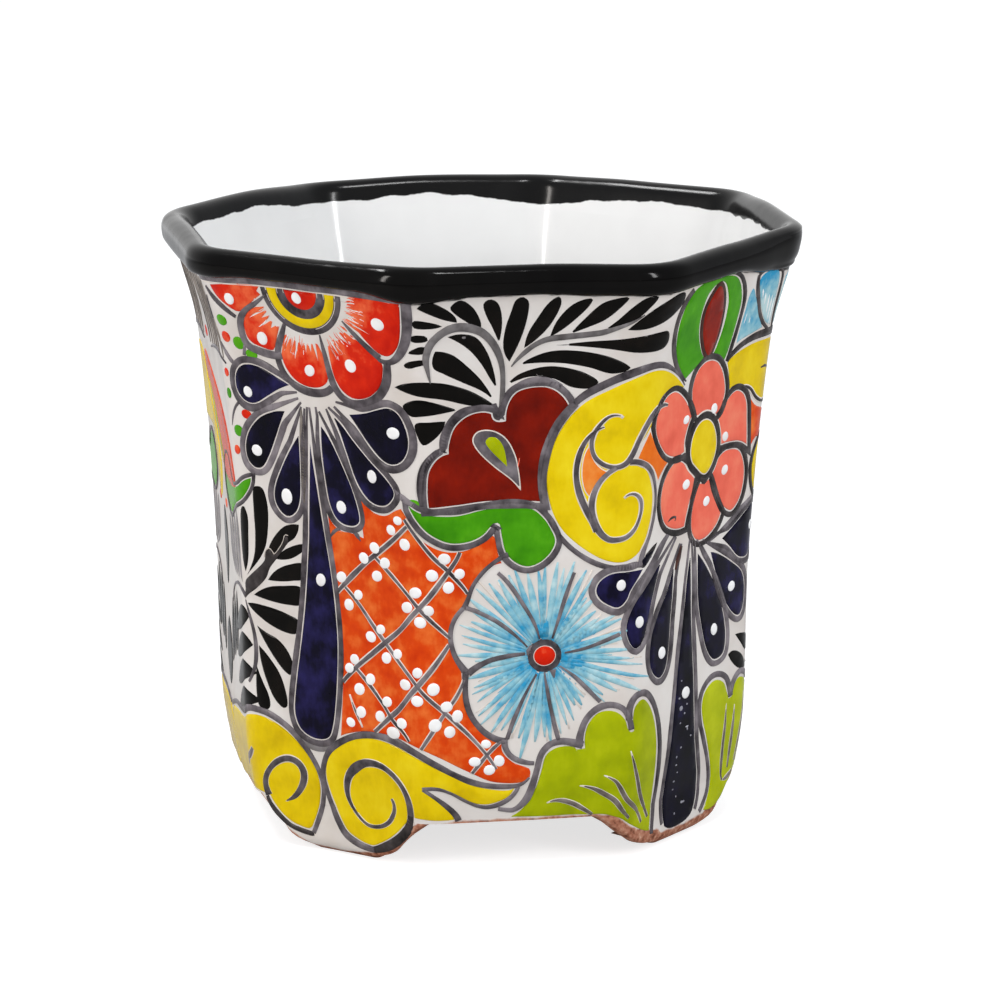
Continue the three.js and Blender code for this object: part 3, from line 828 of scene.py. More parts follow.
def top_spray():
    """Black leaves under the rim, on two curved grey stems."""
    brush([(-12.3, 195), (-11.8, 205), (-12.3, 212), (-14, 218), (-17, 223.5), (-21, 227.5),
           (-26, 229.3), (-31, 229.2), (-36, 226.5), (-40, 222), (-41.8, 216), (-41.3, 211),
           (-40.3, 205.5)],
          [2.2, 2.4, 2.6, 3.2, 3.8, 4.0, 3.4, 2.8, 0.6], line="stem")
    brush([(-8.6, 211.5), (-5, 216), (0, 220.5), (5, 222.9), (12, 223.7), (20, 224.3), (26, 225),
           (32, 227), (37, 229.2), (41, 232)], [0.8, 2.4, 2.8, 2.8, 2.8, 2.6, 2.2, 0.7], line="stem")
    turn = np.radians(np.arange(0, 361, 30))
    ribbon("stem", np.stack([2.8 + 1.4 * np.cos(turn), 208.2 + 1.2 * np.sin(turn)], -1)[:-1], 0.7,
           closed=True)
    dot(-27, 225, 0.8, 0.6, "stem", 0.4)
    leaf([(-44, 238, C), (-39.5, 240.8), (-34, 238), (-30.3, 234.5), (-29.4, 231.6, C), (-34, 232.8),
          (-39.5, 235.4)])
    leaf([(-31.8, 238.2), (-28, 241.3), (-23.8, 238.4), (-20.8, 232.5), (-20.5, 228.4, C), (-25, 231),
          (-30, 235.2)])
    leaf([(-19.6, 239.4), (-17, 241.3), (-14, 239), (-12.6, 231.5), (-13.6, 222, C), (-16.3, 229),
          (-18.6, 234.3)])
    leaf([(-7.8, 240.6), (-5, 241.8), (-2.8, 238.6), (-4.6, 226), (-9.4, 213.7, C), (-11.9, 219.5),
          (-11.4, 228), (-9.4, 235.5)])
    leaf([(-45.6, 232.7), (-39, 231.9), (-35, 230.2, C), (-39, 229.2), (-45.4, 229.6)])
    leaf([(-46.6, 226.1), (-41.6, 226.2), (-40.6, 224.2, C), (-42.6, 223.3), (-46.8, 223.6)])
    leaf([(-48.6, 218.6), (-44.6, 221.2), (-42, 221.4, C), (-42.2, 218.6), (-45, 218)])
    leaf([(-50.6, 212.9), (-48.5, 214.8), (-42, 215.8, C), (-42, 213.8), (-45, 212.8), (-48.5, 211.8)])
    leaf([(-33.2, 225.4, C), (-28, 226.5), (-22.6, 225), (-18.6, 219.3), (-15.8, 211.5),
          (-14.3, 202.5, C), (-16.8, 206.5), (-21, 214), (-26, 220.3)])
    leaf([(-38.2, 219.4, C), (-32, 217.9), (-26, 212.6), (-20, 205.7), (-15, 196.8, C), (-20, 201.4),
          (-28, 205.6), (-35, 209.4), (-39.2, 212.4)])
    leaf([(-54.8, 203.4, C), (-50, 205.4), (-43, 206.1), (-35, 205.4), (-26, 202.4), (-20, 199),
          (-15.2, 195.4, C), (-24, 195.4), (-36, 198.6), (-45, 200), (-50, 201.4)])
    leaf([(-51.7, 195.4), (-48.5, 197.9), (-44, 198.5), (-38, 197), (-29.7, 193.8, C), (-38, 192.3),
          (-44, 191.5), (-48.5, 191.5)])
    leaf([(-46.8, 188.2), (-41, 189.1), (-34.8, 189.3, C), (-36.4, 185), (-40, 181.2), (-43.6, 179.2),
          (-45.6, 182)])
    leaf([(-3.9, 219.4, C), (-2.6, 226), (0.6, 232.6), (4.4, 239), (8, 241.5), (9, 238), (6, 230),
          (1.6, 224)])
    leaf([(5.8, 224, C), (8, 231), (12, 236.6), (16, 239.4), (20.5, 240), (19.2, 236.4), (14, 230.3),
          (9.4, 226.2)])
    leaf([(13.4, 224.9, C), (18, 231), (24, 237.6), (29, 239.6), (34, 239.9), (31, 235.2),
          (26, 230.4), (20, 227.5)])
    leaf([(26.6, 226.2, C), (31, 230.2), (36.4, 236.2), (41, 239.6), (45.6, 239.4), (41, 232.9),
          (37, 229.4), (32.6, 227.6)])
    leaf([(35.3, 225.7, C), (40, 230.4), (45, 234.4), (50, 237.2), (56.5, 239.6), (60.6, 239),
          (60.6, 235), (57, 231.4), (51, 228), (43, 225.6)])
    leaf([(8.3, 220.2, C), (20, 221.2), (32, 221.6), (42, 222.6), (50, 223.6), (54.4, 223.3),
          (56, 219.6), (54.4, 216.5), (49, 215.2), (40, 215.5), (30, 217.4), (18, 219.2)])
    leaf([(-5.4, 212.2, C), (1, 216), (8, 217.8), (16, 217.5), (26, 215.5), (34, 212.4),
          (38.7, 209.2, C), (36, 207.4), (30.5, 207), (22, 209.9), (12, 212.1), (3, 212.7)])
    leaf([(-10.6, 203, C), (-7, 207.2), (-2, 209.7), (5, 211.1), (12, 210.5), (20, 208), (26.2, 203.6),
          (23, 201), (15.5, 201.8), (8.5, 205.6), (0, 207), (-6.5, 205.4)])


def maroon_cloud():
    outlined("maroon", [
        (-42, 152.4, C), (-42.4, 160), (-41.6, 167.8), (-38.2, 173.2), (-33.6, 175.3, C),
        (-33.4, 179.6), (-31, 186.4), (-26, 190.9), (-20.5, 192.4), (-16.4, 191.6, C), (-14.9, 188.5),
        (-10.4, 188.3, C), (-9.6, 195), (-6.5, 200.1), (-1, 202.1), (6, 202), (11, 199), (14.6, 194, C),
        (9.6, 187), (6, 179), (4, 170), (3.2, 161.5), (4.2, 153.2, C), (-6, 154.1), (-18, 154.4),
        (-30, 153.3),
    ], 3.2)
    brush([(-44.8, 153), (-45.2, 162), (-43.6, 170), (-39.4, 175.4), (-36, 177)],
          [2, 3.4, 3.6, 3.2, 2.4])
    brush([(-36, 176.6), (-35.6, 182), (-33, 187.8), (-28.6, 192.6), (-23, 194.8)],
          [2.4, 3.4, 3.8, 3.4, 1.8])
    brush([(-9.6, 199), (-5.6, 203), (-0.6, 204.8), (6, 204.6), (11.4, 202)], [2.4, 3.4, 3.8, 3.6, 2.4])
    loop = loop_through([
        (-4, 158.2, C), (-8.2, 163.2), (-15, 168.9), (-21.5, 175.6), (-24, 180.8), (-21.8, 184.4),
        (-16, 184.6), (-10.4, 181), (-6.6, 174), (-5, 167),
    ])
    patch("halo", loop + sideways(loop, True) * 0.5, 0.3)
    patch("outline", loop, 0.4, tone=0.45)
    fill("lime", [
        (-9.4, 167.9, C), (-13.2, 171.8), (-17.2, 176.2), (-19.2, 179.8), (-17.4, 182.2),
        (-13.8, 181.6), (-11, 177.6), (-9.7, 172),
    ], 0.5)
    brush([(-15.3, 196), (-14.2, 191.6), (-12.8, 189.6)], [2.4, 3.4, 2.2])
    brush([(-7.6, 174.5), (-4.8, 173), (-5.4, 167), (-2.8, 158.6)], [0.5, 0.9, 0.9, 0.5], line="coral")


def green_wave():
    outlined("green", [
        (-50.5, 153, C), (-46, 150.2), (-40, 148.9), (-30, 148.6), (-20, 150.6), (-10, 151.8),
        (-3, 151.4), (1.6, 149.7), (6, 145.6), (9.2, 140.5), (10.8, 135.6), (8.6, 130.6), (4, 126.7),
        (-1, 125.5), (-6, 127.5), (-10, 132), (-11.6, 138), (-12.6, 143.9), (-14, 144.9),
        (-16.2, 143.6), (-20, 139.7), (-26, 137.2), (-34, 137.1), (-42, 141.2), (-47, 146.6),
    ], 2.8)
    brush([(-57, 159.5), (-53, 156), (-48, 153.5)], [1.2, 3, 2.4])
    outlined("green", [
        (-130.8, 154.6, C), (-135.5, 152.8), (-141, 149.6), (-148, 148), (-154, 152), (-158, 157.5),
        (-164, 158.5), (-170, 153), (-171, 144), (-166, 137), (-160, 134), (-153, 137.5), (-146, 141),
        (-138, 144.6), (-132.6, 150),
    ], 2.0)
    fill("green", [(-50.5, 155.3), (-47, 155.6), (-44.8, 153.2), (-48, 153)], 0.2)


def c_scroll():
    fill("yellow", [
        (72, 196, C), (66, 201.2), (60, 204.6), (54, 206.4), (48, 206.4), (40, 204), (31, 200),
        (22, 195.4), (15, 188.6), (10, 180), (7.2, 172), (6.4, 163), (7.5, 155), (10, 147), (14, 140.2),
        (20, 134.3), (27, 129.3), (33, 126.4), (39, 125.4), (44.4, 127), (48.6, 130.6), (52, 137),
        (54.3, 145), (54.4, 153), (52, 160), (49, 164.8, C), (42, 169.5), (45, 175), (50.5, 182.5),
        (53, 188.2, C), (56.5, 193), (61.5, 195.8), (67, 196.4),
    ])
    for points in [
        [(24, 177, C), (21.6, 172.5), (20.8, 165), (22, 158), (24.8, 154, C), (27, 159), (30, 162.6),
         (33.8, 164.6, C), (29.5, 166.4), (26, 170.4)],
        [(50.2, 181.6, C), (53.4, 176), (57.4, 171.4), (62, 167.6), (66, 165.6, C), (61.6, 162.4),
         (57.4, 157.4, C), (54.8, 162.3), (51, 166.2), (44, 169.6, C), (46.4, 174.8)],
    ]:
        loop = loop_through(points)
        patch("halo", loop + sideways(loop, True) * HALO, 0.27)
        patch("tangerine", loop, 0.31)
    brush([(72, 197), (67, 202.2), (61, 206.2), (54.5, 208.6), (48, 208.8), (38, 206.2), (28.5, 202.2),
           (20, 197.4), (12, 189), (7, 179.6), (4.4, 170), (4.0, 160), (6, 150), (10.4, 141.2),
           (16, 134), (23.6, 128), (31, 124.4), (38.5, 123), (44.5, 123.8), (49.5, 123.6)],
          [0.8, 2.0, 3.6, 3.8, 3.4, 3.4, 3.2, 2.6, 2.2, 2.2, 2.2, 2.4, 2.6, 3.2])
    brush([(48.5, 124), (49.6, 129), (53.4, 136), (56, 144.5), (56.3, 152.5), (54, 160.4), (50, 165.6),
           (45.6, 168), (41, 168.6)], [3.6, 2.6, 2.6, 2.6, 2.4, 2.8, 2.6], halo=HALO)
    brush([(37, 187.8), (35, 189), (31.5, 188.6), (28.4, 186), (25.4, 181.4), (24.6, 176.4),
           (26.2, 171.4), (30, 168), (35, 166.6), (39.2, 168), (42, 171.8), (44.6, 177.6), (48, 183.7),
           (51.2, 187.8), (55.4, 190.6), (60.8, 190.4)], [0.8, 1.8, 2.4, 2.2, 2.2, 2.6, 2.6, 3.0, 3.4,
                                                          1.2], halo=HALO)
    brush([(29.6, 184.2), (25, 181.8), (21.4, 177), (19.4, 171), (18.8, 164), (20.2, 156.6),
           (23, 149.8), (26, 143.8), (27.8, 139.2)], [1.0, 2.2, 2.6, 2.6, 3.0, 3.4, 2.2], halo=HALO)
    brush([(35.5, 166.4), (30.6, 163), (27.2, 158), (25.7, 151.6), (26.6, 144.6), (29.6, 138.8),
           (33.4, 135.7), (37.4, 135.4), (41.4, 136.6), (45, 140.2), (47.2, 146), (47.2, 151),
           (45, 154), (42, 154.8), (39.2, 153.2)], [2.4, 2.6, 3.2, 3.4, 3.0, 2.2, 1.8, 2.2, 0.9],
           halo=HALO)
    brush([(53.4, 188.8), (56, 193.3), (60.5, 195.8), (66, 196.2)], [2, 2.4, 1.6])


def bud():
    """A red-brown bud under a green arch."""
    fill("green", [
        (72, 199.5, C), (66.8, 205), (64, 210), (61.9, 217), (61.3, 224), (62, 230), (64.5, 236),
        (68, 239.5), (73, 241.3), (79, 241.8), (87, 241.7), (93, 241), (98, 238.6), (101.8, 234),
        (104.6, 228), (105.4, 221), (104.8, 213), (102.6, 206), (100.6, 203, C), (96, 205),
        (91.5, 207.5, C), (94, 212), (95.6, 219), (94.8, 228), (92, 234), (88.5, 238.5), (84, 239.8),
        (78, 236), (76.3, 231), (76, 226), (77, 220), (79.5, 214), (82.5, 209), (84.5, 206.8, C),
        (79, 203.4),
    ])
    brush([(72.6, 198.6), (66, 204.5), (62.5, 210), (60, 217), (59.2, 224), (59.9, 230), (62.4, 235.5),
           (65.9, 239.4)], [1.0, 2.6, 3.0, 3.0, 3.0, 2.8], line="charcoal")
    brush([(90, 242.3), (95, 241.6), (99.6, 239.4), (103.8, 234.4), (106.5, 228), (107.2, 221),
           (106.6, 213.5), (104.6, 206.6), (102.8, 202)], [1.0, 2.2, 2.6, 2.6, 2.6, 2.8],
           line="charcoal")
    loop = loop_through([
        (84, 238.5), (81, 235.5), (78.5, 231), (77.8, 226), (79, 220), (81.5, 214), (84.5, 209),
        (87, 206.8, C), (89.5, 208), (92, 213.5), (92.8, 219), (92, 226), (90, 232), (87, 237),
    ])
    patch("umber", loop + sideways(loop, True) * 1.5, 0.3, tone=0.3)
    patch("maroon", loop, 0.4)


def streak_daisy():
    centre = (6.8, 86.8)
    rays = [
        [(4.6, 94), (2, 101.5), (-3, 110), (-8, 117.6), (-13.3, 123.3)],
        [(10.2, 94), (13, 103), (16, 113), (19.2, 122)],
        [(15.5, 87.6), (24, 89), (32, 91.6), (39.3, 94.6)],
        [(13.4, 82), (20, 77), (26, 71), (31.2, 65.6)],
        [(6.8, 79.6), (8, 72), (10, 62), (13.2, 50)],
        [(3.4, 79), (-1.2, 71), (-5.4, 62), (-9.2, 51.5)],
        [(-1.6, 88), (-10, 87.2), (-18, 85.4), (-26, 80.6)],
        [(-0.6, 90.8), (-8, 98), (-16, 103.8), (-27, 109)],
    ]

    def reach(angle):
        """How far the petals' strokes run, in each direction."""
        corners = [
            (0, 42), (5, 37), (15, 37), (25, 36), (35, 30), (45, 30), (57, 37), (65, 41), (80, 42),
            (88, 41), (96, 37), (105, 38), (118, 42), (130, 44), (145, 41), (155, 39), (165, 37),
            (180, 35), (192, 33), (200, 34), (215, 36), (232, 38), (248, 39), (256, 45), (265, 41),
            (277, 37), (285, 35), (300, 30), (315, 28), (327, 36), (335, 43), (345, 49), (352, 45),
            (360, 42),
        ]
        return float(np.interp(angle % 360, [a for a, _ in corners], [r for _, r in corners]))

    shade = away_from(centre, 42, 6)
    sectors = [
        (28, 70, 6), (72, 103, 4), (108, 136, 4), (141, 168, 4), (172, 205, 5), (207, 246, 6),
        (250, 274, 4), (278, 320, 6), (326, 384, 8),
    ]
    for start, stop, count in sectors:
        edge = ragged(
            centre, start, stop, lambda a: 0.36 * reach(a), lambda a: 0.7 * reach(a), count, 0.08,
        )[:-1]
        inner = [
            (centre[0] + 6.4 * math.cos(a), centre[1] + 6.4 * math.sin(a), C)
            for a in np.radians(np.linspace(stop - 2, start + 2, 6))
        ]
        fill("sky", edge + inner, 0.2, tone=shade)
    streaks("sky", np.array(centre), 7.0, lambda a: 1.05 * reach(a), 0, 360, 58,
            [1.3, 2.2, 2.8, 2.4, 0.9],
            (0.75, 0.3), 0.24)
    streaks("halo", np.array(centre), 17.0, lambda a: 1.04 * reach(a), 0, 360, 34, [0.2, 0.6, 0.9, 0.9],
            (0.5, 0.5), 0.26)
    for start, stop, count in [(-34, 10, 9), (84, 108, 5)]:
        streaks("sky", np.array(centre), 7.4, lambda a: 0.42 * reach(a), start, stop, count,
                [2.4, 2.8, 1.8, 0.6], (1.6, 1.0), 0.28)
    for number, points in enumerate(rays):
        brush(points, [1.2, 2.0, 2.2, 2.0] if number != 6 else [1.8, 2.6, 3.0, 3.2], lift=0.4)
    brush([(-9, 131), (-14, 128.6), (-19.4, 124.3), (-24, 118.3), (-26.4, 112), (-28, 108.4)],
          [2.6, 2.2, 2.4, 2.8])
    brush([(-27.6, 109.2), (-31.4, 105), (-33.4, 100), (-33.5, 94.6), (-31.8, 88.4), (-28.6, 83.2),
           (-26, 80.2)], [2.4, 2.4, 2.8, 2.6, 3.4])
    brush([(-27, 81.5), (-27.4, 75), (-26.8, 68), (-24.4, 61.4), (-20, 55.6), (-15, 52), (-10, 50.6)],
          [3.4, 2.8, 2.6, 2.8, 3.2])
    brush([(-10.4, 51.4), (-9.6, 46.8), (-7, 43.4), (-2.6, 41.2), (2.6, 40.2)], [3.2, 2.6, 2.6, 2.2])
    turn = np.radians(np.arange(0, 360, 9))
    disc = lambda w, t: np.array(centre) + np.stack([w * np.cos(turn), t * np.sin(turn)], -1)
    patch("outline", disc(7.6, 7.3), 0.42, tone=0.1)
    brush([(0.6, 86.6), (0, 89), (1.2, 91.6)], [1.4, 2.6, 1.2], lift=0.42)
    patch("halo", disc(5.4, 4.9), 0.46, tone=0.0)
    patch("red", disc(5.1, 4.6), 0.5, tone=0.3)
    brush([(10.4, 80.6), (11, 77)], [3.2, 1.0], lift=0.42)


def coral_flower():
    petals = [
        [(84.4, 181.2, C), (80.4, 186), (78.4, 193), (80, 200), (84.8, 203.8), (90.5, 204.4),
         (96, 202.5), (101, 197), (104, 188.6), (101.6, 181.6), (98, 179.8), (94, 181.6), (88.6, 182.6)],
        [(54, 185.5), (57, 190.6), (60.6, 194), (66, 194.9), (72, 191.6), (77, 186.4), (79.6, 182.2, C),
         (77.6, 178.4), (76, 173), (76.2, 167.4, C), (70, 166.4), (63, 168.7), (57.6, 174),
         (54.2, 180)],
        [(100.6, 177.2, C), (104, 180.6), (108, 185.2), (113.4, 187.3), (119, 185.2), (122.6, 180.6),
         (124.6, 172), (126.4, 161.6, C), (119, 164.6), (109, 165.6), (104, 166), (103.2, 171.6)],
        [(87.2, 152.8, C), (85, 149), (82.2, 141.6), (80.4, 134.2, C), (72.4, 134.6), (65.2, 138.2),
         (61.4, 146), (61.8, 154), (65, 160), (70, 163.5), (75.6, 162.8), (80, 159), (84.6, 155.4)],
        [(99.6, 155, C), (103, 159), (108, 161.6), (115, 161.6), (121, 159.4), (125, 154), (126.4, 147),
         (124.4, 139), (118.4, 134.4), (112, 136.6), (106, 142.6), (101.6, 149)],
        [(88, 151.8, C), (86.6, 144), (85.6, 137), (86.8, 130.4), (91.2, 126.2), (98, 126.2),
         (105, 129.6), (109, 134.6, C), (104, 141), (99, 149.4), (97, 152, C), (92.6, 151)],
    ]
    for points in petals:
        outlined("coral", points, 2.9, "charcoal")
    centre = [
        (80.3, 167), (81.4, 173.4), (85, 178), (90.4, 179.4), (96, 176.8), (99.8, 171), (100.8, 164.6),
        (98.6, 158.6), (94.6, 154.8), (91, 155), (86.4, 158.2), (82, 162),
    ]
    loop = loop_through(centre)
    patch("halo", loop + sideways(loop, True) * 4.2, 0.3)
    patch("charcoal", loop + sideways(loop, True) * 3.6, 0.38, tone=0.2)
    patch("halo", loop + sideways(loop, True) * 0.5, 0.42)
    patch("yellow", loop, 0.46)
    brush([(90, 153.6), (93.2, 151.6), (96, 152.8)], [1.6, 3.4, 1.6], line="charcoal", lift=0.4)
    brush([(66.6, 138), (70, 139.8), (73.2, 139.4), (72, 137.6)], [0.6, 1.8, 1.6, 0.6], line="charcoal")
    dots([
        (96.5, 182.6, 2.6, 2.4), (75.6, 181.4, 2.3, 2.0), (107.5, 168.5, 2.4, 2.3),
        (79.4, 152.6, 2.7, 2.4), (109.4, 153.6, 2.6, 2.4), (96.2, 142.3, 2.5, 2.4),
    ])


def right_fan():
    fan_petal([
        (50, 121.3), (42, 121.1), (35, 120.5), (30.4, 117.6), (28.8, 113.6), (30.6, 109.8),
        (34.2, 107.3), (38.4, 106), (42, 109), (43.6, 112.6), (46.8, 117),
    ], (56, 125), 3.2)
    fill("charcoal", [(47.4, 123.6, C), (51, 127), (56, 129.8), (60, 131.2, C), (58, 128), (53.6, 124),
                      (50.4, 121.8)])
    fill("navy", [(48.6, 125.4), (50, 122.6), (52, 122.6), (55, 125.4), (57.4, 128.4, C), (53, 127.8)],
         0.45)
    fan_petal([
        (63.6, 121.8), (55, 115.2), (48.4, 109.6), (44.2, 103.6), (42.2, 97), (43.6, 90.8), (47, 87.4),
        (51, 90), (54.2, 97), (57.6, 107), (61, 115.4),
    ], (74, 131), 2.8, 0.0)
    fan_petal([
        (74, 118), (68.6, 107), (62, 98.8), (57.6, 90.4), (56.4, 82), (58.6, 75), (64.4, 71.2),
        (69, 74), (71.4, 82), (72.6, 94.6), (73.8, 106),
    ], (78.4, 127), 3.2, 0.15)
    fan_petal([
        (86.8, 121), (85, 110), (84, 100), (82.6, 90), (80.8, 80), (79.4, 70), (78.2, 60), (77, 50),
        (76, 40), (75.4, 30), (75, 20), (74.9, 10), (76.7, 2.2, C), (81.7, 0.2), (90, 0.2), (96.7, 1.4),
        (100.8, 3.9, C), (103.8, 12), (103, 19.4), (99.6, 28), (96.4, 37), (94.6, 47), (93.6, 56),
        (92.6, 66), (91.3, 76), (90.2, 86), (89.2, 96), (88.4, 107),
    ], (86, 128.6), 3.0, 0.15, worn_below=3.0)
    fan_petal([
        (92.6, 120), (93.6, 108), (95, 97), (98, 87), (102, 77), (107, 71), (111.6, 69.8),
        (116.6, 71.6), (118, 77), (117.4, 83), (114.4, 92), (108, 103), (100, 113),
    ], (90.2, 126), 3.0)
    fan_petal([
        (103, 118.6), (108, 108.6), (112.6, 100), (118, 93), (124, 87.6), (129.4, 85.8), (132.8, 90),
        (133.4, 98), (130, 105), (120.6, 111), (110, 116.4),
    ], (95, 124.6), 3.0)
    fan_petal([
        (111.8, 122.9), (118, 125.6), (125, 128.8), (131, 131.8), (138, 133.6), (144, 131),
        (146.6, 125), (145, 117.6), (140, 112.8), (133, 111), (126, 112.6), (119, 118),
    ], (100, 124.4), 3.0)
    brush([(44.5, 107.5), (50, 114), (56, 121), (63, 128.6), (69, 133.6)], [2.0, 4.4, 5.2, 4.0, 2.0])
    brush([(75.6, 116), (77.2, 121), (79, 126)], [1.6, 3.6, 2.0], line="umber")
    # Pale dots down the navy stem: painted highlight, standing in for glints of light on its glossy enamel
    dots([(83, 53.8, 1.7, 1.2), (88.6, 44.6, 1.5, 0.5), (91.2, 9.8, 1.3, 0.7)], paint="glint", lift=0.3)
    for up in np.linspace(6, 66, 17):
        middle = 89 - 0.05 * up
        dot(middle + dice.uniform(-7, 6), up, dice.uniform(0.5, 1.0), dice.uniform(0.4, 0.7), "glint",
            0.3)
    brush([(101, 123.6), (116, 128.8), (128, 134.4), (136, 137)], [1.0, 2.6, 2.8, 2.0])
    brush([(91, 118), (91.6, 108), (93, 98), (94, 92)], [0.8, 1.6, 1.6, 0.8])
    dots([
        (39.4, 115.6, 2.2, 2.4), (48.8, 98.7, 2.3, 2.8), (65.9, 81.9, 3.1, 2.7), (86.4, 60.1, 3.2, 2.9),
        (108, 83.6, 2.8, 2.7), (121.5, 100, 2.9, 2.5), (137.5, 124.3, 2.8, 2.4),
    ])


def lime_leaves():
    fill("lime", [
        (-8, 16.4, C), (-3.5, 18.6), (0.8, 23.4), (4, 30), (6, 37), (7.6, 43), (11.2, 46), (16, 47),
        (20.4, 46.3, C), (21.4, 45.3), (25, 45.6, C), (24.8, 51), (26.2, 56), (30, 60.4), (34.6, 61.5),
        (39, 60.4), (42.4, 57), (44, 52.6), (45.4, 51.3, C), (47, 51.6, C), (46.2, 57), (47.2, 62),
        (50.6, 64.6), (54, 63.6), (58.4, 59), (61.8, 52), (63.8, 44), (64.6, 34), (65, 24), (65.1, 14),
        (64.6, 8), (64.2, 3.2, C), (60, 4.1), (54.2, 6.6), (48.3, 9.6), (43.3, 12.8), (35, 15.2, C),
        (20, 15.9), (10, 15.9),
    ])
    brush([(-12.8, 20.3), (-10, 19.8), (-6.2, 19.5), (-2.8, 21.4), (0.2, 25), (2.4, 31), (4, 37.4),
           (5.8, 44), (9.4, 48), (14.6, 49.2), (20, 48.2), (24, 47)],
           [1.8, 2.4, 3.6, 3.6, 3.2, 3.0, 3.2, 3.2, 3.6])
    brush([(22.4, 46.5), (23, 52.4), (25.4, 58.4), (30, 62.6), (35.4, 64), (40.8, 62.4), (44, 58),
           (45.6, 52.4)], [3.8, 3.0, 3.0, 3.2, 3.0, 2.8, 3.0])
    brush([(44.4, 57), (44.6, 62.6), (47.4, 66.6), (51.6, 67.4), (56, 65.6), (60.8, 60), (64.2, 52.6),
           (66.2, 44), (67.2, 33), (67.5, 22), (67, 15), (66.3, 7), (65.8, 1.4)],
          [3.4, 3.2, 3.4, 3.2, 3.0, 3.0, 2.6])
    veins = [
        [(9, 22), (14, 23), (20, 21.5), (26, 18.2), (30, 15.6)],
        [(23.4, 29), (29.5, 27.4), (35, 24.5), (40, 21.2), (44.2, 16.2), (47.9, 12.4)],
        [(34, 33), (37, 31.6), (40, 29.5), (45.8, 21.2), (52.5, 15.3), (56.7, 8.7)],
        [(45.6, 43), (48, 36.6), (50.8, 29.5), (54.2, 22), (59.2, 14.5), (61.7, 10)],
    ]
    for points in veins:
        brush(points, [0.6, 2.4, 2.6, 1.8], line="vein", halo=0.2)
    fill("lime", [
        (116, 14.5), (114, 21), (111.6, 26), (106.8, 35), (102.4, 43.6), (100.6, 51), (102.6, 56.6),
        (108, 59.9), (113.2, 60), (118.4, 57.4), (121.4, 52.6), (123, 49.6, C), (125.4, 50, C),
        (126.6, 54), (130.6, 57.4), (137, 56), (143, 53), (147.6, 57), (153, 59.6), (159, 57),
        (161.6, 50), (159.4, 41), (155, 31), (151.6, 22), (151, 15.8, C), (137, 15.4, C), (131.4, 10.6),
        (125, 4.4), (118, 1.4), (110.4, 1.8, C), (114.4, 8.4),
    ])
    brush([(106.7, 2), (110, 5.3), (112.9, 9.5), (114.1, 14.5), (112.5, 20), (109.2, 26.5), (104.2, 35),
           (99.8, 43.6), (98.2, 51.4),
           (100.4, 58), (106.4, 62.2), (113.2, 62.6), (119.4, 60), (123, 54.6), (124.2, 50.4)],
          [2.4, 2.6, 2.6, 3.0, 3.2, 3.0, 3.6])
    brush([(124, 51.6), (126.4, 57), (131, 60), (137, 58.8), (142, 56), (146.4, 59.6), (153, 62.4),
           (160.6, 59.4), (164, 51), (161.8, 41), (157.2, 31), (153.8, 22), (153.2, 16)],
          [3.4, 3.0, 3.0, 2.8, 3.0, 3.0, 2.4])
    veins = [
        [(121, 48), (121, 40), (121.7, 29.5), (124.2, 17), (125.8, 12)],
        [(128, 46), (128, 35), (128.3, 30), (129.6, 17)],
        [(126, 12), (130, 12.6), (134, 15)],
        [(137, 50), (136.5, 40), (136, 30), (135.6, 19)],
        [(146, 46), (143.5, 36), (141, 26), (139.5, 18)],
    ]
    for points in veins:
        brush(points, [0.6, 2.2, 2.4, 1.4], line="vein", halo=0.2)


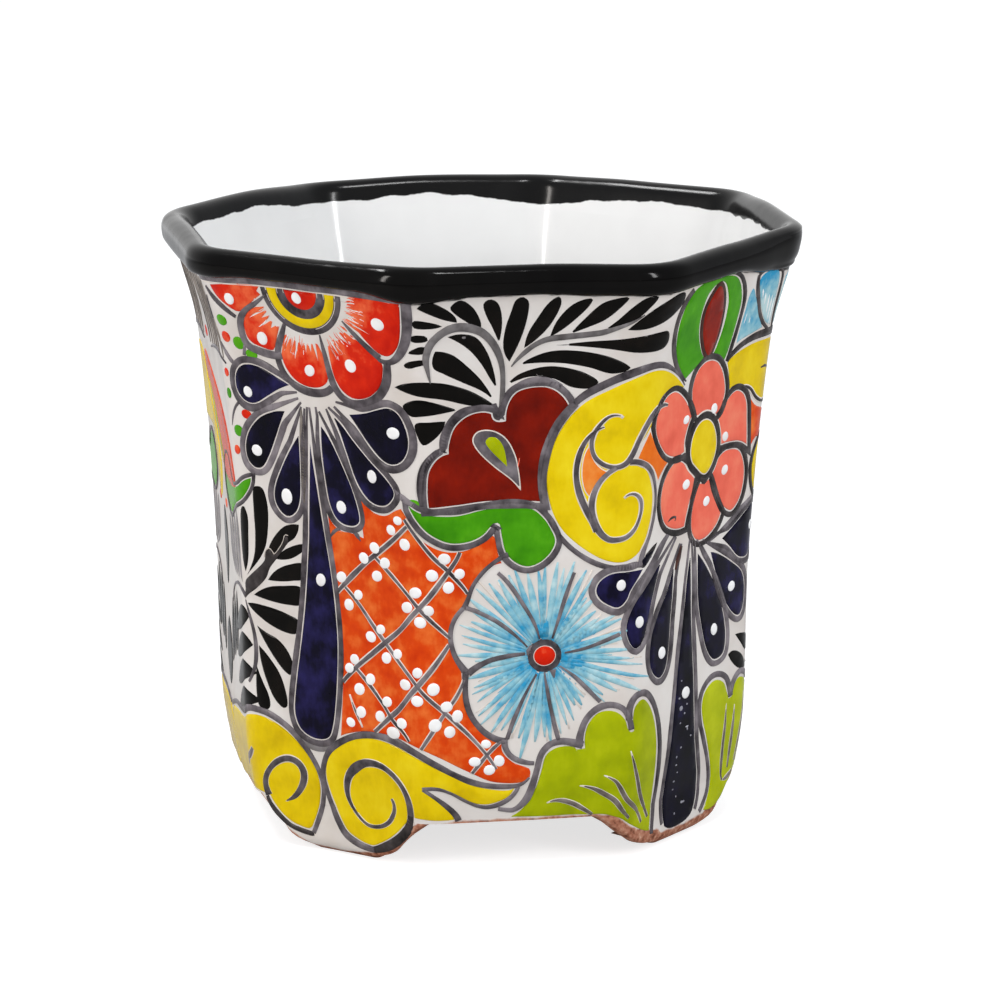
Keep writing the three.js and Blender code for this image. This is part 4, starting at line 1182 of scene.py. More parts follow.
def right_side():
    """The marks that run on round the right-hand side."""
    centre = np.array([150.0, 203.0])
    fill("sky", [
        (108.6, 208.6, C), (109.4, 216), (109.8, 223), (109.6, 229), (110.8, 232.4, C),
        (112.4, 231.6, C), (114.6, 228.6, C), (118.6, 224), (123.4, 217.4), (127, 212.8, C),
        (120, 211.4), (112, 209.8),
    ], 0.2, tone=0.5)
    deeper = lambda points: np.clip((points[:, 1] - 222) / 14, 0.05, 1.1)
    fill("sky", [
        (114.4, 233), (114.9, 236.6), (118.4, 238.4), (123.6, 238.6), (127.4, 237.2), (129.4, 233),
        (131, 226), (133.4, 213, C), (129, 214.6), (124.6, 218.8), (119.6, 225.4), (116, 230.4),
    ], 0.2, tone=deeper)
    for low, high in [(213, 228), (216, 231), (219, 230.4), (223.4, 231), (227, 232)]:
        along = 131.5 - 0.8 * (low - 213)
        brush([(along - 2.4, high), (along - 1, (low + high) / 2), (along, low)], [0.3, 1.3, 0.9],
              line="white",
              lift=0.28)
    brush([(110.4, 211), (111.4, 219), (111.8, 228)], [0.4, 1.0, 0.3], line="white", lift=0.28)
    brush([(115.4, 212), (115, 218), (114, 224)], [0.4, 1.0, 0.3], line="white", lift=0.28)
    fill("sky", [
        (138, 213, C), (136.6, 224), (136, 234, C), (146.2, 236.4, C), (146.8, 228), (147.6, 218),
        (148, 210.4, C),
    ], 0.2, tone=away_from(centre, 26, 39))
    fill("sky", [
        (149.6, 212, C), (149.6, 224), (148.6, 236.4, C), (158, 236), (166, 234, C), (160.6, 224),
        (153.6, 212.6, C),
    ], 0.2, tone=away_from(centre, 26, 38))
    streaks("white", centre, 14.0, lambda a: 30, 62, 104, 16, [0.2, 0.9, 1.1, 0.3], (0.3, 0.3), 0.3)
    brush([(112.6, 238), (113.6, 233.6), (117.2, 227), (122, 219.6), (127, 214.6), (133.6, 210.4)],
          [2.0, 2.4, 2.2, 2.2, 1.6], line="charcoal", lift=0.4)
    brush([(112.6, 238), (116, 239.6), (122, 240), (127.4, 239.2), (130.6, 236), (132.4, 229),
           (134.4, 219), (136.4, 211)], [2.0, 1.8, 1.8, 1.8, 2.0, 2.0, 1.4], line="charcoal", lift=0.4)
    brush([(147, 239.4), (148.5, 229), (149, 219), (149.2, 209)], [1.6, 2.0, 1.8, 1.2], line="charcoal",
          lift=0.4)
    brush([(172, 236), (166.6, 226), (160.6, 217), (154, 209.6)], [1.6, 2.0, 1.8, 1.2], line="charcoal",
          lift=0.4)
    fill("yellow", [
        (103.4, 201.2, C), (108, 203.6), (116, 205.6), (125, 206.8), (136, 206.8), (148, 205.4),
        (160, 201.6), (168.4, 196), (172.6, 187), (171, 178), (164, 171.6), (155, 170.6), (148.6, 174),
        (143.6, 177.4), (137.6, 178.6), (132, 180.8), (127, 184.6), (121.4, 187.2), (115, 189.6),
        (111, 190), (107, 188.6, C), (106, 195),
    ])
    brush([(103, 202.6), (111, 206.8), (120, 209.2), (130, 210), (142, 209.4), (154, 206.8),
           (165, 201.6), (172.6, 194), (175.2, 184), (172, 174.4), (164, 168.6), (155, 168)],
          [2.4, 3.4, 3.8, 3.4, 3.0, 2.8, 2.6, 1.4], line="charcoal")
    brush([(118, 188.4), (124, 186.6), (129.6, 181.8), (136, 179.2), (144, 179.2), (151, 175.4),
           (157, 175.6), (160.6, 180.4), (158.6, 186), (152.6, 188.2), (147, 185.6)],
          [1.6, 2.0, 2.0, 2.0, 1.6, 2.0, 1.0], line="charcoal", halo=HALO)
    brush([(130.6, 194.6), (134.5, 194.8), (139.5, 193.4)], [1.0, 1.8, 0.8], line="charcoal")
    fill("orange", [
        (123.8, 184.4, C), (130, 178.4), (137, 176.2), (143.6, 174.6), (150, 170.4), (151, 163),
        (146, 158.6), (139.6, 160.6), (135, 163.6), (129.2, 159.8, C), (127.8, 170), (126, 178),
    ])
    outlined("yellow", [
        (133, 150), (134.6, 157), (139.6, 161.4), (146, 161.2), (150.6, 156), (151.4, 148),
        (148, 141.6), (141.6, 139), (136, 142),
    ], 2.8, "charcoal")
    leaf([(126.4, 77.5, C), (131, 73.2), (135.4, 69.4), (140, 68), (144.6, 70.6), (140, 75), (133, 77)])
    leaf([(120.8, 69.6, C), (125, 70.6), (131, 68.6), (136.4, 64), (138, 60.8), (130.6, 61.6),
          (125, 65)])
    for i in range(5):
        up = 66 + 11.5 * i
        leaf([(152 - 1.5 * i, up, C), (157, up + 6), (164, up + 9.5), (172 - i, up + 9), (168, up + 3),
              (160, up - 0.5)])
    brush([(140, 62.5), (147, 64), (150.5, 72), (149.6, 84), (147.6, 96), (146.6, 108)],
          [1.0, 1.8, 2.2, 2.0, 0.8])
    fan_petal([
        (153, 124.5), (158, 120), (165, 118.6), (171, 122), (173.4, 129), (171, 136.6), (164.6, 140.6),
        (158, 138.6), (154.4, 132),
    ], (150.5, 133), 3.0)
    dot(165, 129.6, 2.8, 2.6)
    dots([(176, 112, 2.6, 2.4), (174.6, 148.6, 2.4, 2.4), (168, 156.6, 2.6, 2.4)], paint="green",
         lift=0.3)
    dots([(176.6, 103.6, 2.4, 2.2), (161.5, 163, 2.4, 2.2), (176, 165, 2.4, 2.2)], paint="red",
         lift=0.3)
    outlined("navy_seam", [
        (172, 24), (169, 34), (171.6, 44), (178, 49), (184, 49), (189.4, 44), (192, 34), (189, 24),
        (184, 17.6), (177, 17.6),
    ], 2.8, "outline_seam")
    dot(180.5, 35, 3, 3, "white_seam")


def left_side():
    """The marks that run on round the left-hand side."""
    fill("yellow_seam", [
        (-194, 134), (-187.6, 140), (-184, 150), (-189, 163.4), (-200, 179), (-210, 193), (-219, 198),
        (-228, 195), (-235, 184), (-236, 173), (-227, 165.4), (-213, 163.4), (-202, 162), (-198.4, 148),
    ], 0.26)
    fill("orange_seam", [
        (-204, 197), (-194, 195), (-180, 189), (-165, 180), (-152, 167), (-144, 150), (-151, 146.6),
        (-161, 147), (-173, 150.6), (-184, 161), (-195, 177), (-207, 192),
    ], 0.26, tone=0.0)
    fill("lime_seam", [
        (-200, 186, C), (-195, 179.4), (-187, 168), (-178, 158), (-170, 152, C), (-174, 160),
        (-183, 171.4), (-192, 181.6),
    ], 0.36)
    for i in range(6):
        along = -146 - 7 * i
        brush([(along + 4, 205), (along + 2, 217), (along - 2, 228), (along - 6, 237)],
              [0.8, 2.4, 2.2, 0.8],
              line="vein")
    brush([(-140, 203), (-150, 205.6), (-163, 205.8), (-177, 203)], [1.2, 2.2, 2.2, 1.2])
    brush([(-144, 232), (-145.4, 222), (-143.4, 212)], [1.2, 2.0, 1.0])
    leaf([(-186, 132, C), (-181, 122), (-181.6, 108), (-187, 96), (-191, 108), (-191, 122)],
         "black_seam")
    dot(-187.5, 208, 2.6, 2.6, "red_seam", 0.3)
    dot(-178, 134, 2.4, 2.2, "red", 0.3)
    leaf([(-187, 82, C), (-180.6, 74), (-179.6, 62), (-187, 51), (-193, 62), (-193, 74)], "black_seam")


for painted in (
    red_daisy, berries, navy_fan, side_spray, lattice, foot_scrolls, top_spray, maroon_cloud, green_wave,
    c_scroll, bud, streak_daisy, coral_flower, right_fan, lime_leaves, right_side, left_side,
):
    painted()


# Materials

def material(name):
    made = bpy.data.materials.new(name)
    made.use_nodes = True
    nodes, links = made.node_tree.nodes, made.node_tree.links
    return made, nodes, links, nodes["Principled BSDF"]


def linear(colour):
    """A colour written as it looks on screen, 0 to 255, as linear light."""
    def one(c):
        c = c / 255
        return c / 12.92 if c <= 0.04045 else ((c + 0.055) / 1.055) ** 2.4
    return (*[one(c) for c in colour], 1)


def noise_value(nodes, links, scale, detail=3.0, stretch=(1, 1, 1)):
    """A 0 to 1 pattern fixed to the pot, with features about scale mm across."""
    place = nodes.new("ShaderNodeTexCoord")
    mapping = nodes.new("ShaderNodeMapping")
    mapping.inputs["Scale"].default_value = stretch
    links.new(place.outputs["Object"], mapping.inputs["Vector"])
    made = nodes.new("ShaderNodeTexNoise")
    made.inputs["Scale"].default_value = 1 / (scale * MM)
    made.inputs["Detail"].default_value = detail
    links.new(mapping.outputs["Vector"], made.inputs["Vector"])
    return made.outputs["Fac"]


def ramp(nodes, links, value, stops):
    made = nodes.new("ShaderNodeValToRGB")
    made.color_ramp.elements.remove(made.color_ramp.elements[1])
    made.color_ramp.elements[0].position = stops[0][0]
    made.color_ramp.elements[0].color = linear(stops[0][1])
    for at, colour in stops[1:]:
        made.color_ramp.elements.new(at).color = linear(colour)
    links.new(value, made.inputs["Fac"])
    return made.outputs["Color"]


def math_node(nodes, links, operation, a, b):
    made = nodes.new("ShaderNodeMath")
    made.operation = operation
    for socket, value in zip(made.inputs, (a, b)):
        if isinstance(value, (int, float)):
            socket.default_value = value
        else:
            links.new(value, socket)
    return made.outputs[0]


def mix_colour(nodes, links, amount, a, b):
    made = nodes.new("ShaderNodeMix")
    made.data_type = "RGBA"
    links.new(amount, made.inputs["Factor"])
    links.new(a, made.inputs["A"])
    links.new(b, made.inputs["B"])
    return made.outputs["Result"]


def bumped(nodes, links, shader, value, depth):
    made = nodes.new("ShaderNodeBump")
    made.inputs["Distance"].default_value = depth * MM
    made.inputs["Strength"].default_value = 1.0
    links.new(value, made.inputs["Height"])
    links.new(made.outputs["Normal"], shader.inputs["Normal"])


# How strongly the outside of the pot mirrors its surroundings
GLOSS_LEVEL = 0.1


def enamel(name, dark, plain, light, rough=0.14, tone_share=0.5, mottle=9.0):
    """Glossy brushed colour: its tone changes from mark to mark and in soft patches within one."""
    made, nodes, links, shader = material(name)
    tone = nodes.new("ShaderNodeAttribute")
    tone.attribute_name = "tone"
    soft = noise_value(nodes, links, mottle, 4.0)
    fine = noise_value(nodes, links, 1.6, 2.0, (1, 1, 0.35))
    spread = math_node(nodes, links, "MULTIPLY", math_node(nodes, links, "SUBTRACT", soft, 0.5), 1.5)
    grain = math_node(nodes, links, "MULTIPLY", math_node(nodes, links, "SUBTRACT", fine, 0.5), 0.25)
    base = math_node(nodes, links, "MULTIPLY", tone.outputs["Fac"], tone_share)
    value = math_node(nodes, links, "ADD", base, 0.5 - tone_share / 2)
    value = math_node(nodes, links, "ADD", value, spread)
    value = math_node(nodes, links, "ADD", value, grain)
    colour = ramp(nodes, links, value, [(0.05, dark), (0.5, plain), (0.95, light)])
    links.new(colour, shader.inputs["Base Color"])
    shader.inputs["Roughness"].default_value = rough
    shader.inputs["Specular IOR Level"].default_value = GLOSS_LEVEL
    bumped(nodes, links, shader, noise_value(nodes, links, 14.0, 2.0), 0.12)
    return made


ENAMELS = {
    "outline": enamel("brushed_outline", (48, 44, 47), (96, 90, 94), (136, 129, 133), 0.22, 0.55, 7.0),
    "charcoal": enamel("brushed_charcoal", (30, 28, 28), (60, 55, 55), (96, 90, 90), 0.22, 0.5, 7.0),
    "umber": enamel("brushed_umber", (40, 24, 20), (70, 44, 38), (98, 70, 62), 0.2, 0.5, 7.0),
    "stem": enamel("brushed_stem", (82, 78, 78), (116, 112, 112), (144, 140, 142), 0.22, 0.5, 6.0),
    "vein": enamel("brushed_vein", (70, 64, 60), (112, 104, 98), (150, 142, 134), 0.22, 0.5, 6.0),
    # glint: pale grey for painted highlights, the glints of light on the navy stem
    "glint": enamel("painted_glint_enamel", (118, 118, 128), (148, 148, 158), (176, 176, 184), 0.2, 0.5, 6.0),
    "halo": enamel("glaze_edge", (206, 196, 186), (220, 210, 200), (230, 222, 214), 0.16, 0.4, 6.0),
    "white": enamel("white_enamel", (230, 228, 226), (240, 240, 240), (246, 247, 248), 0.1, 0.4, 6.0),
    "black": enamel("black_enamel", (3, 2, 1), (7, 5, 3), (18, 13, 9), 0.1, 0.4, 8.0),
    "navy": enamel("navy_enamel", (2, 2, 6), (10, 7, 30), (34, 30, 78), 0.1, 0.4, 10.0),
    "red": enamel("red_enamel", (192, 22, 2), (214, 38, 8), (236, 108, 64), 0.12, 0.75, 7.0),
    "orange": enamel("orange_enamel", (192, 42, 0), (214, 68, 8), (232, 120, 50), 0.12, 0.3, 8.0),
    "tangerine": enamel(
        "tangerine_enamel", (218, 92, 14), (230, 116, 30), (236, 150, 70), 0.12, 0.4, 8.0,
    ),
    "yellow": enamel("yellow_enamel", (200, 168, 0), (226, 196, 2), (236, 212, 30), 0.12, 0.35, 13.0),
    "maroon": enamel("maroon_enamel", (94, 10, 0), (124, 18, 0), (146, 28, 2), 0.12, 0.35, 12.0),
    "green": enamel("green_enamel", (52, 130, 2), (70, 152, 8), (94, 172, 26), 0.12, 0.35, 11.0),
    "lime": enamel("lime_enamel", (140, 154, 0), (164, 176, 0), (184, 194, 18), 0.12, 0.35, 12.0),
    "coral": enamel("coral_enamel", (222, 92, 72), (236, 108, 86), (240, 132, 104), 0.12, 0.35, 11.0),
    "sky": enamel("sky_enamel", (184, 212, 216), (130, 184, 200), (44, 146, 190), 0.14, 0.85, 5.0),
}


def pot_glaze():
    """White glaze outside and in, with black glaze where the band value says and bare clay where the
    clay value does. The within value is 1 inside the pot."""
    made, nodes, links, shader = material("pot_glaze")
    soft = noise_value(nodes, links, 24.0, 3.0)
    # The outer and inner whites are one glaze. The inside is set lighter and cooler than the outside: painted
    # light, standing in for the brighter light inside the pot
    outer = ramp(nodes, links, soft, [
        (0.3, (208, 200, 193)), (0.5, (217, 211, 206)), (0.75, (223, 219, 215)),
    ])
    inner = ramp(nodes, links, soft, [(0.3, (224, 224, 223)), (0.75, (229, 229, 228))])
    within = nodes.new("ShaderNodeAttribute")
    within.attribute_name = "within"
    white = mix_colour(nodes, links, within.outputs["Fac"], outer, inner)
    speck = noise_value(nodes, links, 1.1, 1.0)
    dark = ramp(nodes, links, soft, [(0.3, (4, 3, 3)), (0.6, (9, 8, 7)), (0.85, (17, 15, 15))])
    grit = noise_value(nodes, links, 2.2, 4.0)
    clay = ramp(nodes, links, grit, [
        (0.3, (104, 62, 46)), (0.45, (160, 104, 82)), (0.6, (182, 130, 106)), (0.74, (206, 176, 156)),
    ])
    wander = noise_value(nodes, links, 7.0, 4.0)

    def step_on(attribute, softness, drift):
        """0 to 1 where a value of the mesh passes 0. The edge wanders by about drift mm."""
        place = nodes.new("ShaderNodeAttribute")
        place.attribute_name = attribute
        shift = math_node(nodes, links, "SUBTRACT", wander, 0.5)
        shift = math_node(nodes, links, "MULTIPLY", shift, drift)
        value = math_node(nodes, links, "ADD", place.outputs["Fac"], shift)
        value = math_node(nodes, links, "DIVIDE", value, softness)
        value = math_node(nodes, links, "ADD", value, 0.5)
        held = nodes.new("ShaderNodeClamp")
        links.new(value, held.inputs["Value"])
        return held.outputs["Result"]

    band = step_on("band", 0.5, 2.2)
    bare = step_on("clay", 1.0, 2.6)
    colour = mix_colour(nodes, links, band, white, dark)
    colour = mix_colour(nodes, links, bare, colour, clay)
    links.new(colour, shader.inputs["Base Color"])
    rough = math_node(nodes, links, "MULTIPLY", bare, 0.7)
    inside_rough = math_node(nodes, links, "MULTIPLY", within.outputs["Fac"], 0.08)
    rough = math_node(nodes, links, "ADD", rough, inside_rough)
    rough = math_node(nodes, links, "ADD", rough, 0.1)
    links.new(rough, shader.inputs["Roughness"])
    gloss = math_node(nodes, links, "SUBTRACT", 0.4, math_node(nodes, links, "MULTIPLY", band, 0.28))
    gloss = math_node(nodes, links, "MULTIPLY", within.outputs["Fac"], gloss)
    links.new(math_node(nodes, links, "ADD", gloss, GLOSS_LEVEL), shader.inputs["Specular IOR Level"])
    pitted = math_node(nodes, links, "MULTIPLY", speck, 0.02)
    height = math_node(nodes, links, "ADD", noise_value(nodes, links, 22.0, 2.0), pitted)
    coarse = math_node(nodes, links, "MULTIPLY", math_node(nodes, links, "MULTIPLY", grit, bare), 0.8)
    height = math_node(nodes, links, "ADD", height, coarse)
    bumped(nodes, links, shader, height, 0.25)
    return made


POT_GLAZE = pot_glaze()


def finish_pot(piece, node, band, clay, within):
    piece.data.set_sharp_from_angle(angle=math.radians(50))
    set_value(piece, "band", band)
    set_value(piece, "clay", clay)
    set_value(piece, "within", np.broadcast_to(within, len(piece.data.vertices)))
    piece.data.materials.append(POT_GLAZE)
    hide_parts(node)


# Pot pieces

COLUMNS = SIDES * 36


def turned(name, profile):
    """A closed piece from a profile. Each of its rings gives the points at places along."""
    along = np.arange(COLUMNS) * WHOLE_TURN / COLUMNS
    rings = [ring(along) for ring in profile]
    points = np.vstack(rings)
    faces = tube_faces(len(rings), COLUMNS, closed_rings=True)
    return add_mesh(name, points * MM, faces), np.tile(along, len(rings)), points[:, 2]


def outer_ring(z):
    def build(along):
        flat = np.full_like(along, z)
        return on_wall(along, flat, 0.0) / MM
    return build


def inner_ring(z):
    apothem = float(apothem_at(np.array(z))[0]) - WALL_THICKNESS
    radius = float(corner_at(np.array(z))) - WALL_THICKNESS

    def build(along):
        x, y, out_x, out_y = octagon(along, apothem, radius)
        push = hand_wobble(along, z)
        return np.stack([x + out_x * push, y + out_y * push, np.full_like(along, z)], -1)
    return build


def band_edge(along):
    """Height of the black band's uneven lower edge outside, at the seat of the lip."""
    turn = 2 * np.pi * along / WHOLE_TURN
    uneven = 0.2 * np.sin(5 * turn + 1) + 0.15 * np.sin(23 * turn)
    return WALL_TOP + round_the_pot(LIP_SEAT, along) + uneven


def inner_band_edge(along):
    """Height of the black band's ragged edge inside."""
    turn = 2 * np.pi * along / WHOLE_TURN
    ragged_edge = 0.4 * np.sin(7 * turn + 2) + 0.3 * np.sin(19 * turn) + 0.25 * np.sin(41 * turn + 1)
    depth = round_the_pot(INNER_BAND, along) + ragged_edge
    return HEIGHT + round_the_pot(LIP_CREST, along) - depth


outer_heights = list(np.linspace(FOOT_TOP, WALL_TOP, 76))
inner_heights = list(np.linspace(WALL_TOP, FOOT_TOP, 40))
wall_rings = [outer_ring(z) for z in outer_heights] + [inner_ring(z) for z in inner_heights]
wall, wall_along, wall_z = turned("glazed_wall", wall_rings)
outside = np.repeat([True] * len(outer_heights) + [False] * len(inner_heights), COLUMNS)
wall_band = wall_z - np.where(outside, band_edge(wall_along), inner_band_edge(wall_along))
between_feet = np.abs((wall_along - SIDE_LENGTH) % (2 * SIDE_LENGTH) - SIDE_LENGTH)
bare_edge = FOOT_TOP + 1.0 + 0.3 * np.clip(34 - between_feet, -40, 0)
wall_clay = np.where(outside, bare_edge - wall_z, NONE_HERE)
finish_pot(wall, "wall", wall_band, wall_clay, ~outside)

lip_line = np.vstack([[(0, 0)], even(smooth_run(LIP_OUTSIDE + LIP_INSIDE), 0.9)])


def lip_ring(out, rise, outer):
    """A ring of the lip. Its seat is higher along some sides, and its crest sways."""
    def build(along):
        low = max(0.0, 1 - rise / 10) * (outer and rise > 0)
        seat = np.maximum(round_the_pot(LIP_SEAT, along), 0) * low
        x, y, out_x, out_y = octagon(along, TOP_APOTHEM + out, LIP_CORNER_RADIUS + out)
        steady = 1 - 0.7 * rise / LIP_RISE
        push = hand_wobble(along, WALL_TOP + rise) * steady + LIP_LEAN * seat * (1 - out / LIP_OUT)
        if outer:
            hollow_share = min(rise / 2, 1) * max(0.0, 1 - rise / 14) ** 0.5
            push = push - round_the_pot(LIP_HOLLOW, along) * hollow_share
        z = WALL_TOP + rise + seat + round_the_pot(LIP_CREST, along) * rise / LIP_RISE
        return np.stack([x + out_x * push, y + out_y * push, z], -1)
    return build


lip_crest = int(np.argmax(lip_line[:, 1]))
lip_rings = [lip_ring(out, rise, number <= lip_crest) for number, (out, rise) in enumerate(lip_line)]
lip, lip_along, lip_z = turned("rolled_lip_glaze", lip_rings)
on_outside = np.repeat(np.arange(len(lip_line)) <= lip_crest, COLUMNS)
lip_band = lip_z - np.where(on_outside, band_edge(lip_along), inner_band_edge(lip_along))
finish_pot(lip, "rolled_lip", lip_band, np.full(len(lip_z), NONE_HERE), ~on_outside)


def floor_piece():
    """The floor slab, with the drain hole's rounded mouth."""
    apothem = float(apothem_at(np.array(FLOOR_TOP))[0]) - WALL_THICKNESS
    corner = CORNER_RADIUS - WALL_THICKNESS
    along = np.arange(COLUMNS) * WHOLE_TURN / COLUMNS
    x, y, _, _ = octagon(along, apothem - 0.3, corner)
    edge = np.stack([x, y], -1)
    turn = np.arctan2(x, -y)
    hole = np.stack([np.sin(turn), -np.cos(turn)], -1)
    rows = [(0.02, FLOOR_TOP + 1.2), (0.06, FLOOR_TOP + 0.4), (0.2, FLOOR_TOP), (0.6, FLOOR_TOP - 0.3)]
    mouth = [
        (1.6, FLOOR_TOP - 0.4), (0.4, FLOOR_TOP - 0.9), (0.0, FLOOR_TOP - 2), (0.0, FOOT_TOP + 1),
        (0.8, FOOT_TOP),
    ]
    flat_rings = [(edge, FOOT_TOP), (edge, FLOOR_TOP + 2.4)]
    flat_rings += [(edge * (1 - share) + hole * DRAIN_RADIUS * share, z) for share, z in rows]
    flat_rings += [(hole * (DRAIN_RADIUS + wider), z) for wider, z in mouth]
    rings = [np.column_stack([flat, np.full(COLUMNS, z)]) for flat, z in flat_rings]
    points = np.vstack(rings)
    faces = tube_faces(len(rings), COLUMNS, closed_rings=True)
    piece = add_mesh("floor_slab_glaze", points * MM, faces)
    below = (FOOT_TOP + 1.5) - points[:, 2]
    finish_pot(piece, "floor_slab", np.full(len(points), NONE_HERE), below, True)


floor_piece()


# Ends of a foot: how far the cut is from the middle of the pot's side, at each height
CUT = [(0, 64), (2.2, 59), (3.6, 56.5), (6, 54), (10, 51.5), (14.5, 48), (18.5, 43.5), (20.5, 40)]
WIDE_CUT = [
    (0, 66), (2.2, 60), (3.4, 54), (5.1, 50), (7.2, 46.5), (10.1, 43), (12.6, 39.5), (16.8, 34.5), (20.5, 28),
]


def end_distance(half, inset, z):
    """Distance along from the middle of a foot's side to a cut, half mm from the pot's middle plane."""
    apothem = float(apothem_at(np.array(z))[0]) - inset
    along = np.linspace(0.2, 1.6, 200) * SIDE_LENGTH
    x, _, _, _ = octagon(along - SIDE_LENGTH, apothem, max(CORNER_RADIUS - inset, 1.0))
    return float(np.interp(-half, x, along))


def cut_height(along, cut, sign):
    """Height of the foot's lower edge at places along it, beside one of its cuts."""
    far = [end_distance(half, 0.0, z) for z, half in cut]
    reach = np.clip(sign * along, 0, None)
    return np.interp(reach, far, [z for z, _ in cut])


def grid_faces(rows, columns, number):
    """Quads over a grid of points. number(row, column) is a point's place in the mesh."""
    return [
        (number(a, b), number(a, b + 1), number(a + 1, b + 1), number(a + 1, b))
        for a in range(rows) for b in range(columns)
    ]


def foot_piece(name, side, first_cut, last_cut, bare):
    """One bracket foot under a diagonal side, between two sloping worn ends.

    bare says how high the bare clay shows over its lower edge: at its first end, in its middle
    and at its last end."""
    steps, depth_steps = 72, 8
    levels = [0, 0.15, 0.5, 1.0, 1.8, 2.8, 4.0, 5.4, 7.0, 9.0, 11.0, 13.0, 15.0, 17.0, 19.0, FOOT_TOP]
    points, clay = [], []
    for z in levels:
        for j in range(depth_steps):
            inset = FOOT_DEPTH * j / (depth_steps - 1)
            under = FOOT_TAPER * (1 - z / FOOT_TOP) * j / (depth_steps - 1)
            ends = []
            for sign, cut in ((-1, first_cut), (1, last_cut)):
                half = float(np.interp(z, [h for h, _ in cut], [w for _, w in cut]))
                ends.append(sign * end_distance(half, inset - under, z))
            along = np.linspace(ends[0], ends[1], steps)
            gap = np.minimum(along - ends[0], ends[1] - along)
            soft = np.clip(1 - gap / FOOT_ROUND, 0, 1)
            round_in = FOOT_ROUND * (1 - np.sqrt(1 - soft**2)) * (1 - j / (depth_steps - 1))
            apothem = apothem_at(np.full(steps, z))[0] - inset + under
            place = side * SIDE_LENGTH + along
            x, y, out_x, out_y = octagon(place, apothem - round_in, max(CORNER_RADIUS - inset, 1.0))
            push = hand_wobble(place, z)
            points.append(np.stack([x + out_x * push, y + out_y * push, np.full(steps, z)], -1))
            share = (along - ends[0]) / (ends[1] - ends[0])
            show = np.interp(share, [0, 0.5, 1], bare)
            edge = np.maximum(cut_height(along, first_cut, -1), cut_height(along, last_cut, 1))
            hidden = 2.0 if j else NONE_HERE
            clay.append(np.maximum(show - (z - edge), hidden))
    points, clay = np.vstack(points), np.concatenate(clay)
    number = lambda k, j, i: (k * depth_steps + j) * steps + i
    last, end, top = depth_steps - 1, steps - 1, len(levels) - 1
    faces = grid_faces(top, end, lambda k, i: number(k, 0, i))
    faces += grid_faces(end, top, lambda i, k: number(k, last, i))
    faces += grid_faces(last, top, lambda j, k: number(k, j, 0))
    faces += grid_faces(top, last, lambda k, j: number(k, j, end))
    faces += grid_faces(end, last, lambda i, j: number(0, j, i))
    faces += grid_faces(last, end, lambda j, i: number(top, j, i))
    piece = add_mesh(name + "_clay", points * MM, faces)
    finish_pot(piece, name, np.full(len(points), NONE_HERE), clay, False)


foot_piece("foot_front_left", -1, CUT, CUT, [2.6, 1.0, 4.5])
foot_piece("foot_front_right", 1, WIDE_CUT, CUT, [6.8, 5.6, 7.0])
foot_piece("foot_rear_right", 3, CUT, CUT, [2.5, 2.0, 2.5])
foot_piece("foot_rear_left", -3, CUT, CUT, [2.5, 2.0, 2.5])

# The painting goes on twice: as laid out, and mirrored round the far half of the pot.
# Marks that cross from one half to the other have paints named with _seam, and go on once.
LEFT_SEAM = -187.5
RIGHT_SEAM = LEFT_SEAM + WHOLE_TURN / 2
for paint in PAINTS.values():
    flat = np.vstack(paint.points)
    tones = np.concatenate(paint.tones)
    once = paint.name.endswith("_seam")
    for half, mirrored in (("front", False), ("back", True)):
        if once and mirrored:
            continue
        along = 2 * RIGHT_SEAM - flat[:, 0] if mirrored else flat[:, 0]
        faces = [tuple(reversed(f)) for f in paint.faces] if mirrored else paint.faces
        placed = on_wall(along, flat[:, 1] + MARK_ZERO, flat[:, 2])
        piece = add_mesh(f"{paint.name}_marks_{half}", placed, faces)
        set_value(piece, "tone", tones)
        piece.data.materials.append(ENAMELS[paint.name.removesuffix("_seam")])

# Floor, light and camera

FLOOR_REACH = 4.0


def background_ray(nodes, links, behind):
    """1 for rays that show the background: straight from the camera, or by way of gloss or glass.

    The white background lies behind the pot, and behind goes from 0 in front of it to 1."""
    path = nodes.new("ShaderNodeLightPath")
    outputs = path.outputs
    gloss = math_node(nodes, links, "MAXIMUM", outputs["Is Glossy Ray"], outputs["Is Transmission Ray"])
    gloss = math_node(nodes, links, "MULTIPLY", gloss, behind)
    return math_node(nodes, links, "MAXIMUM", outputs["Is Camera Ray"], gloss)


def eased_y(nodes, links, vector, start, stop):
    """0 to 1 as a vector's y goes from start to stop."""
    split = nodes.new("ShaderNodeSeparateXYZ")
    links.new(vector, split.inputs[0])
    made = nodes.new("ShaderNodeMapRange")
    made.interpolation_type = "SMOOTHSTEP"
    made.inputs["From Min"].default_value = start
    made.inputs["From Max"].default_value = stop
    links.new(split.outputs["Y"], made.inputs["Value"])
    return made.outputs["Result"]


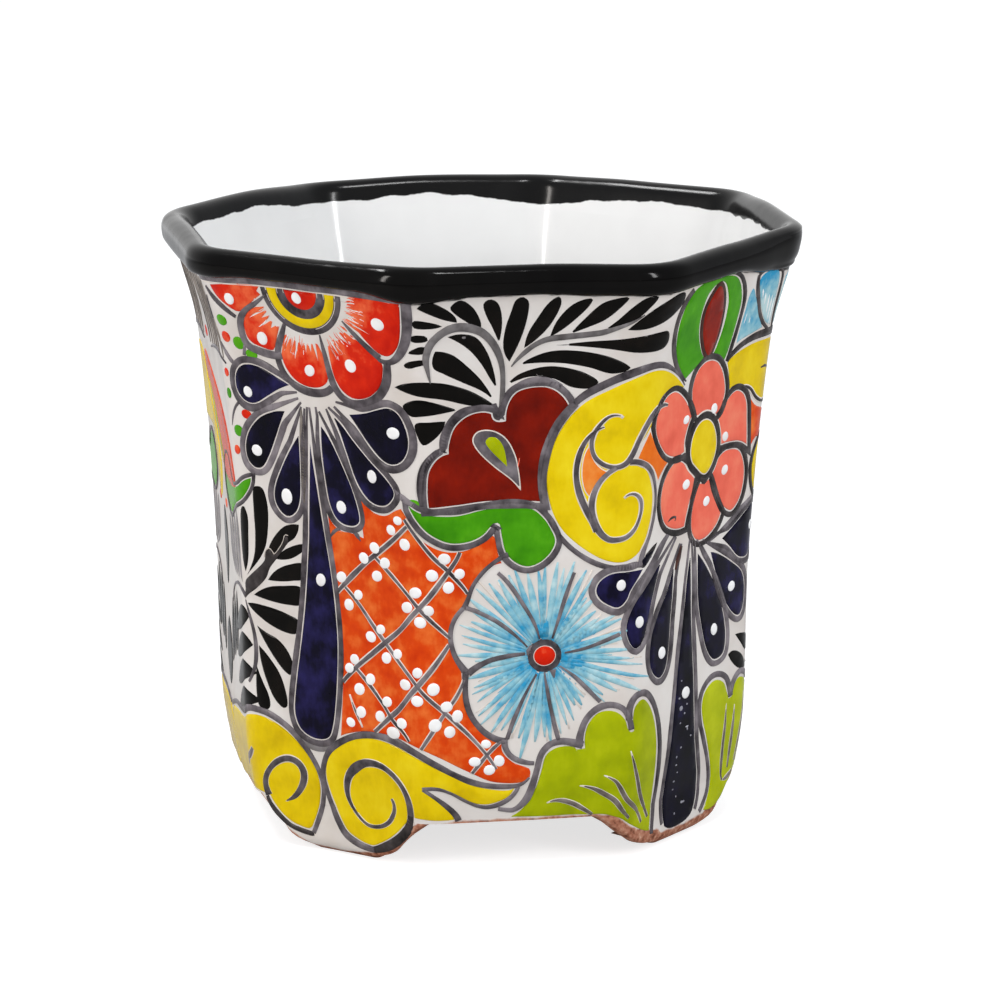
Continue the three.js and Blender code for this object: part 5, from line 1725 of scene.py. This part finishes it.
def studio_floor():
    mesh = bpy.data.meshes.new("studio_floor")
    r = FLOOR_REACH
    mesh.from_pydata([(-r, -r, 0), (r, -r, 0), (r, r, 0), (-r, r, 0)], [], [(0, 1, 2, 3)])
    plane = bpy.data.objects.new("studio_floor", mesh)
    bpy.context.collection.objects.link(plane)
    made, nodes, links, shader = material("studio_floor")
    shader.inputs["Roughness"].default_value = 0.9
    shader.inputs["Specular IOR Level"].default_value = 0.0
    grain = noise_value(nodes, links, 300.0, 2.0)
    links.new(ramp(nodes, links, grain, [(0.3, (186, 186, 186)), (0.7, (192, 192, 192))]),
              shader.inputs["Base Color"])
    glow = nodes.new("ShaderNodeEmission")
    glow.inputs["Strength"].default_value = 0.72
    both = nodes.new("ShaderNodeAddShader")
    links.new(shader.outputs[0], both.inputs[0])
    links.new(glow.outputs[0], both.inputs[1])
    pick = nodes.new("ShaderNodeMixShader")
    place = nodes.new("ShaderNodeNewGeometry")
    behind = eased_y(nodes, links, place.outputs["Position"], 0.9, 2.2)
    links.new(background_ray(nodes, links, behind), pick.inputs[0])
    links.new(shader.outputs[0], pick.inputs[1])
    links.new(both.outputs[0], pick.inputs[2])
    links.new(pick.outputs[0], nodes["Material Output"].inputs["Surface"])
    plane.data.materials.append(made)


studio_floor()


def studio_world():
    world = bpy.data.worlds.new("studio")
    bpy.context.scene.world = world
    world.use_nodes = True
    nodes, links = world.node_tree.nodes, world.node_tree.links
    nodes.clear()
    room = nodes.new("ShaderNodeBackground")
    room.inputs["Color"].default_value = (0.92, 0.95, 1.0, 1)
    room.inputs["Strength"].default_value = 0.63
    white = nodes.new("ShaderNodeBackground")
    white.inputs["Color"].default_value = (1, 1, 1, 1)
    white.inputs["Strength"].default_value = 1.0
    pick = nodes.new("ShaderNodeMixShader")
    place = nodes.new("ShaderNodeTexCoord")
    behind = eased_y(nodes, links, place.outputs["Generated"], 0.1, 0.9)
    links.new(background_ray(nodes, links, behind), pick.inputs[0])
    links.new(room.outputs[0], pick.inputs[1])
    links.new(white.outputs[0], pick.inputs[2])
    out = nodes.new("ShaderNodeOutputWorld")
    links.new(pick.outputs[0], out.inputs["Surface"])


studio_world()

CAMERA_TURN = math.radians(-10.64)
CAMERA_RISE = math.radians(12.5)


def lamp(name, turn, rise, distance, wide, tall, power, aim=(0, 0, 0.13), colour=(1, 1, 1)):
    """A soft box seen from the pot at an angle round from the camera's side, and up."""
    light = bpy.data.lights.new(name, "AREA")
    light.shape = "RECTANGLE"
    light.size, light.size_y = wide, tall
    light.energy = power
    light.color = colour
    holder = bpy.data.objects.new(name, light)
    a = CAMERA_TURN + math.radians(turn)
    e = math.radians(rise)
    aim = Vector(aim)
    away = Vector((math.sin(a) * math.cos(e), -math.cos(a) * math.cos(e), math.sin(e)))
    holder.location = aim + away * distance
    holder.rotation_euler = away.to_track_quat("Z", "Y").to_euler()
    bpy.context.collection.objects.link(holder)


lamp("left_box", turn=-56, rise=22, distance=1.7, wide=0.16, tall=0.9, power=12, colour=(1.0, 0.95, 0.9))
lamp("right_box", turn=46, rise=24, distance=1.7, wide=0.14, tall=0.8, power=11)
lamp("crest_box", turn=30, rise=74, distance=1.6, wide=0.14, tall=0.3, power=5, aim=(0.02, -0.13, 0.26))
lamp("far_crest_box", turn=-118, rise=56.5, distance=1.6, wide=0.5, tall=0.12, power=7,
     aim=(-0.06, -0.1, 0.26))


def camera():
    """Where the photograph was taken from, in mm round the pot's middle."""
    distance, aim_aside, aim_up, lens = 2114.1, 5.1, 138.8, 177.34
    right = Vector((math.cos(CAMERA_TURN), math.sin(CAMERA_TURN), 0))
    away = Vector((
        math.sin(CAMERA_TURN) * math.cos(CAMERA_RISE),
        -math.cos(CAMERA_TURN) * math.cos(CAMERA_RISE),
        math.sin(CAMERA_RISE),
    ))
    data = bpy.data.cameras.new("photo_camera")
    data.lens = lens
    data.sensor_width = 36
    eye = bpy.data.objects.new("photo_camera", data)
    eye.location = (right * aim_aside + Vector((0, 0, aim_up)) + away * distance) * MM
    eye.rotation_euler = away.to_track_quat("Z", "Y").to_euler()
    bpy.context.collection.objects.link(eye)
    bpy.context.scene.camera = eye


camera()
bpy.context.scene.view_settings.view_transform = "Standard"
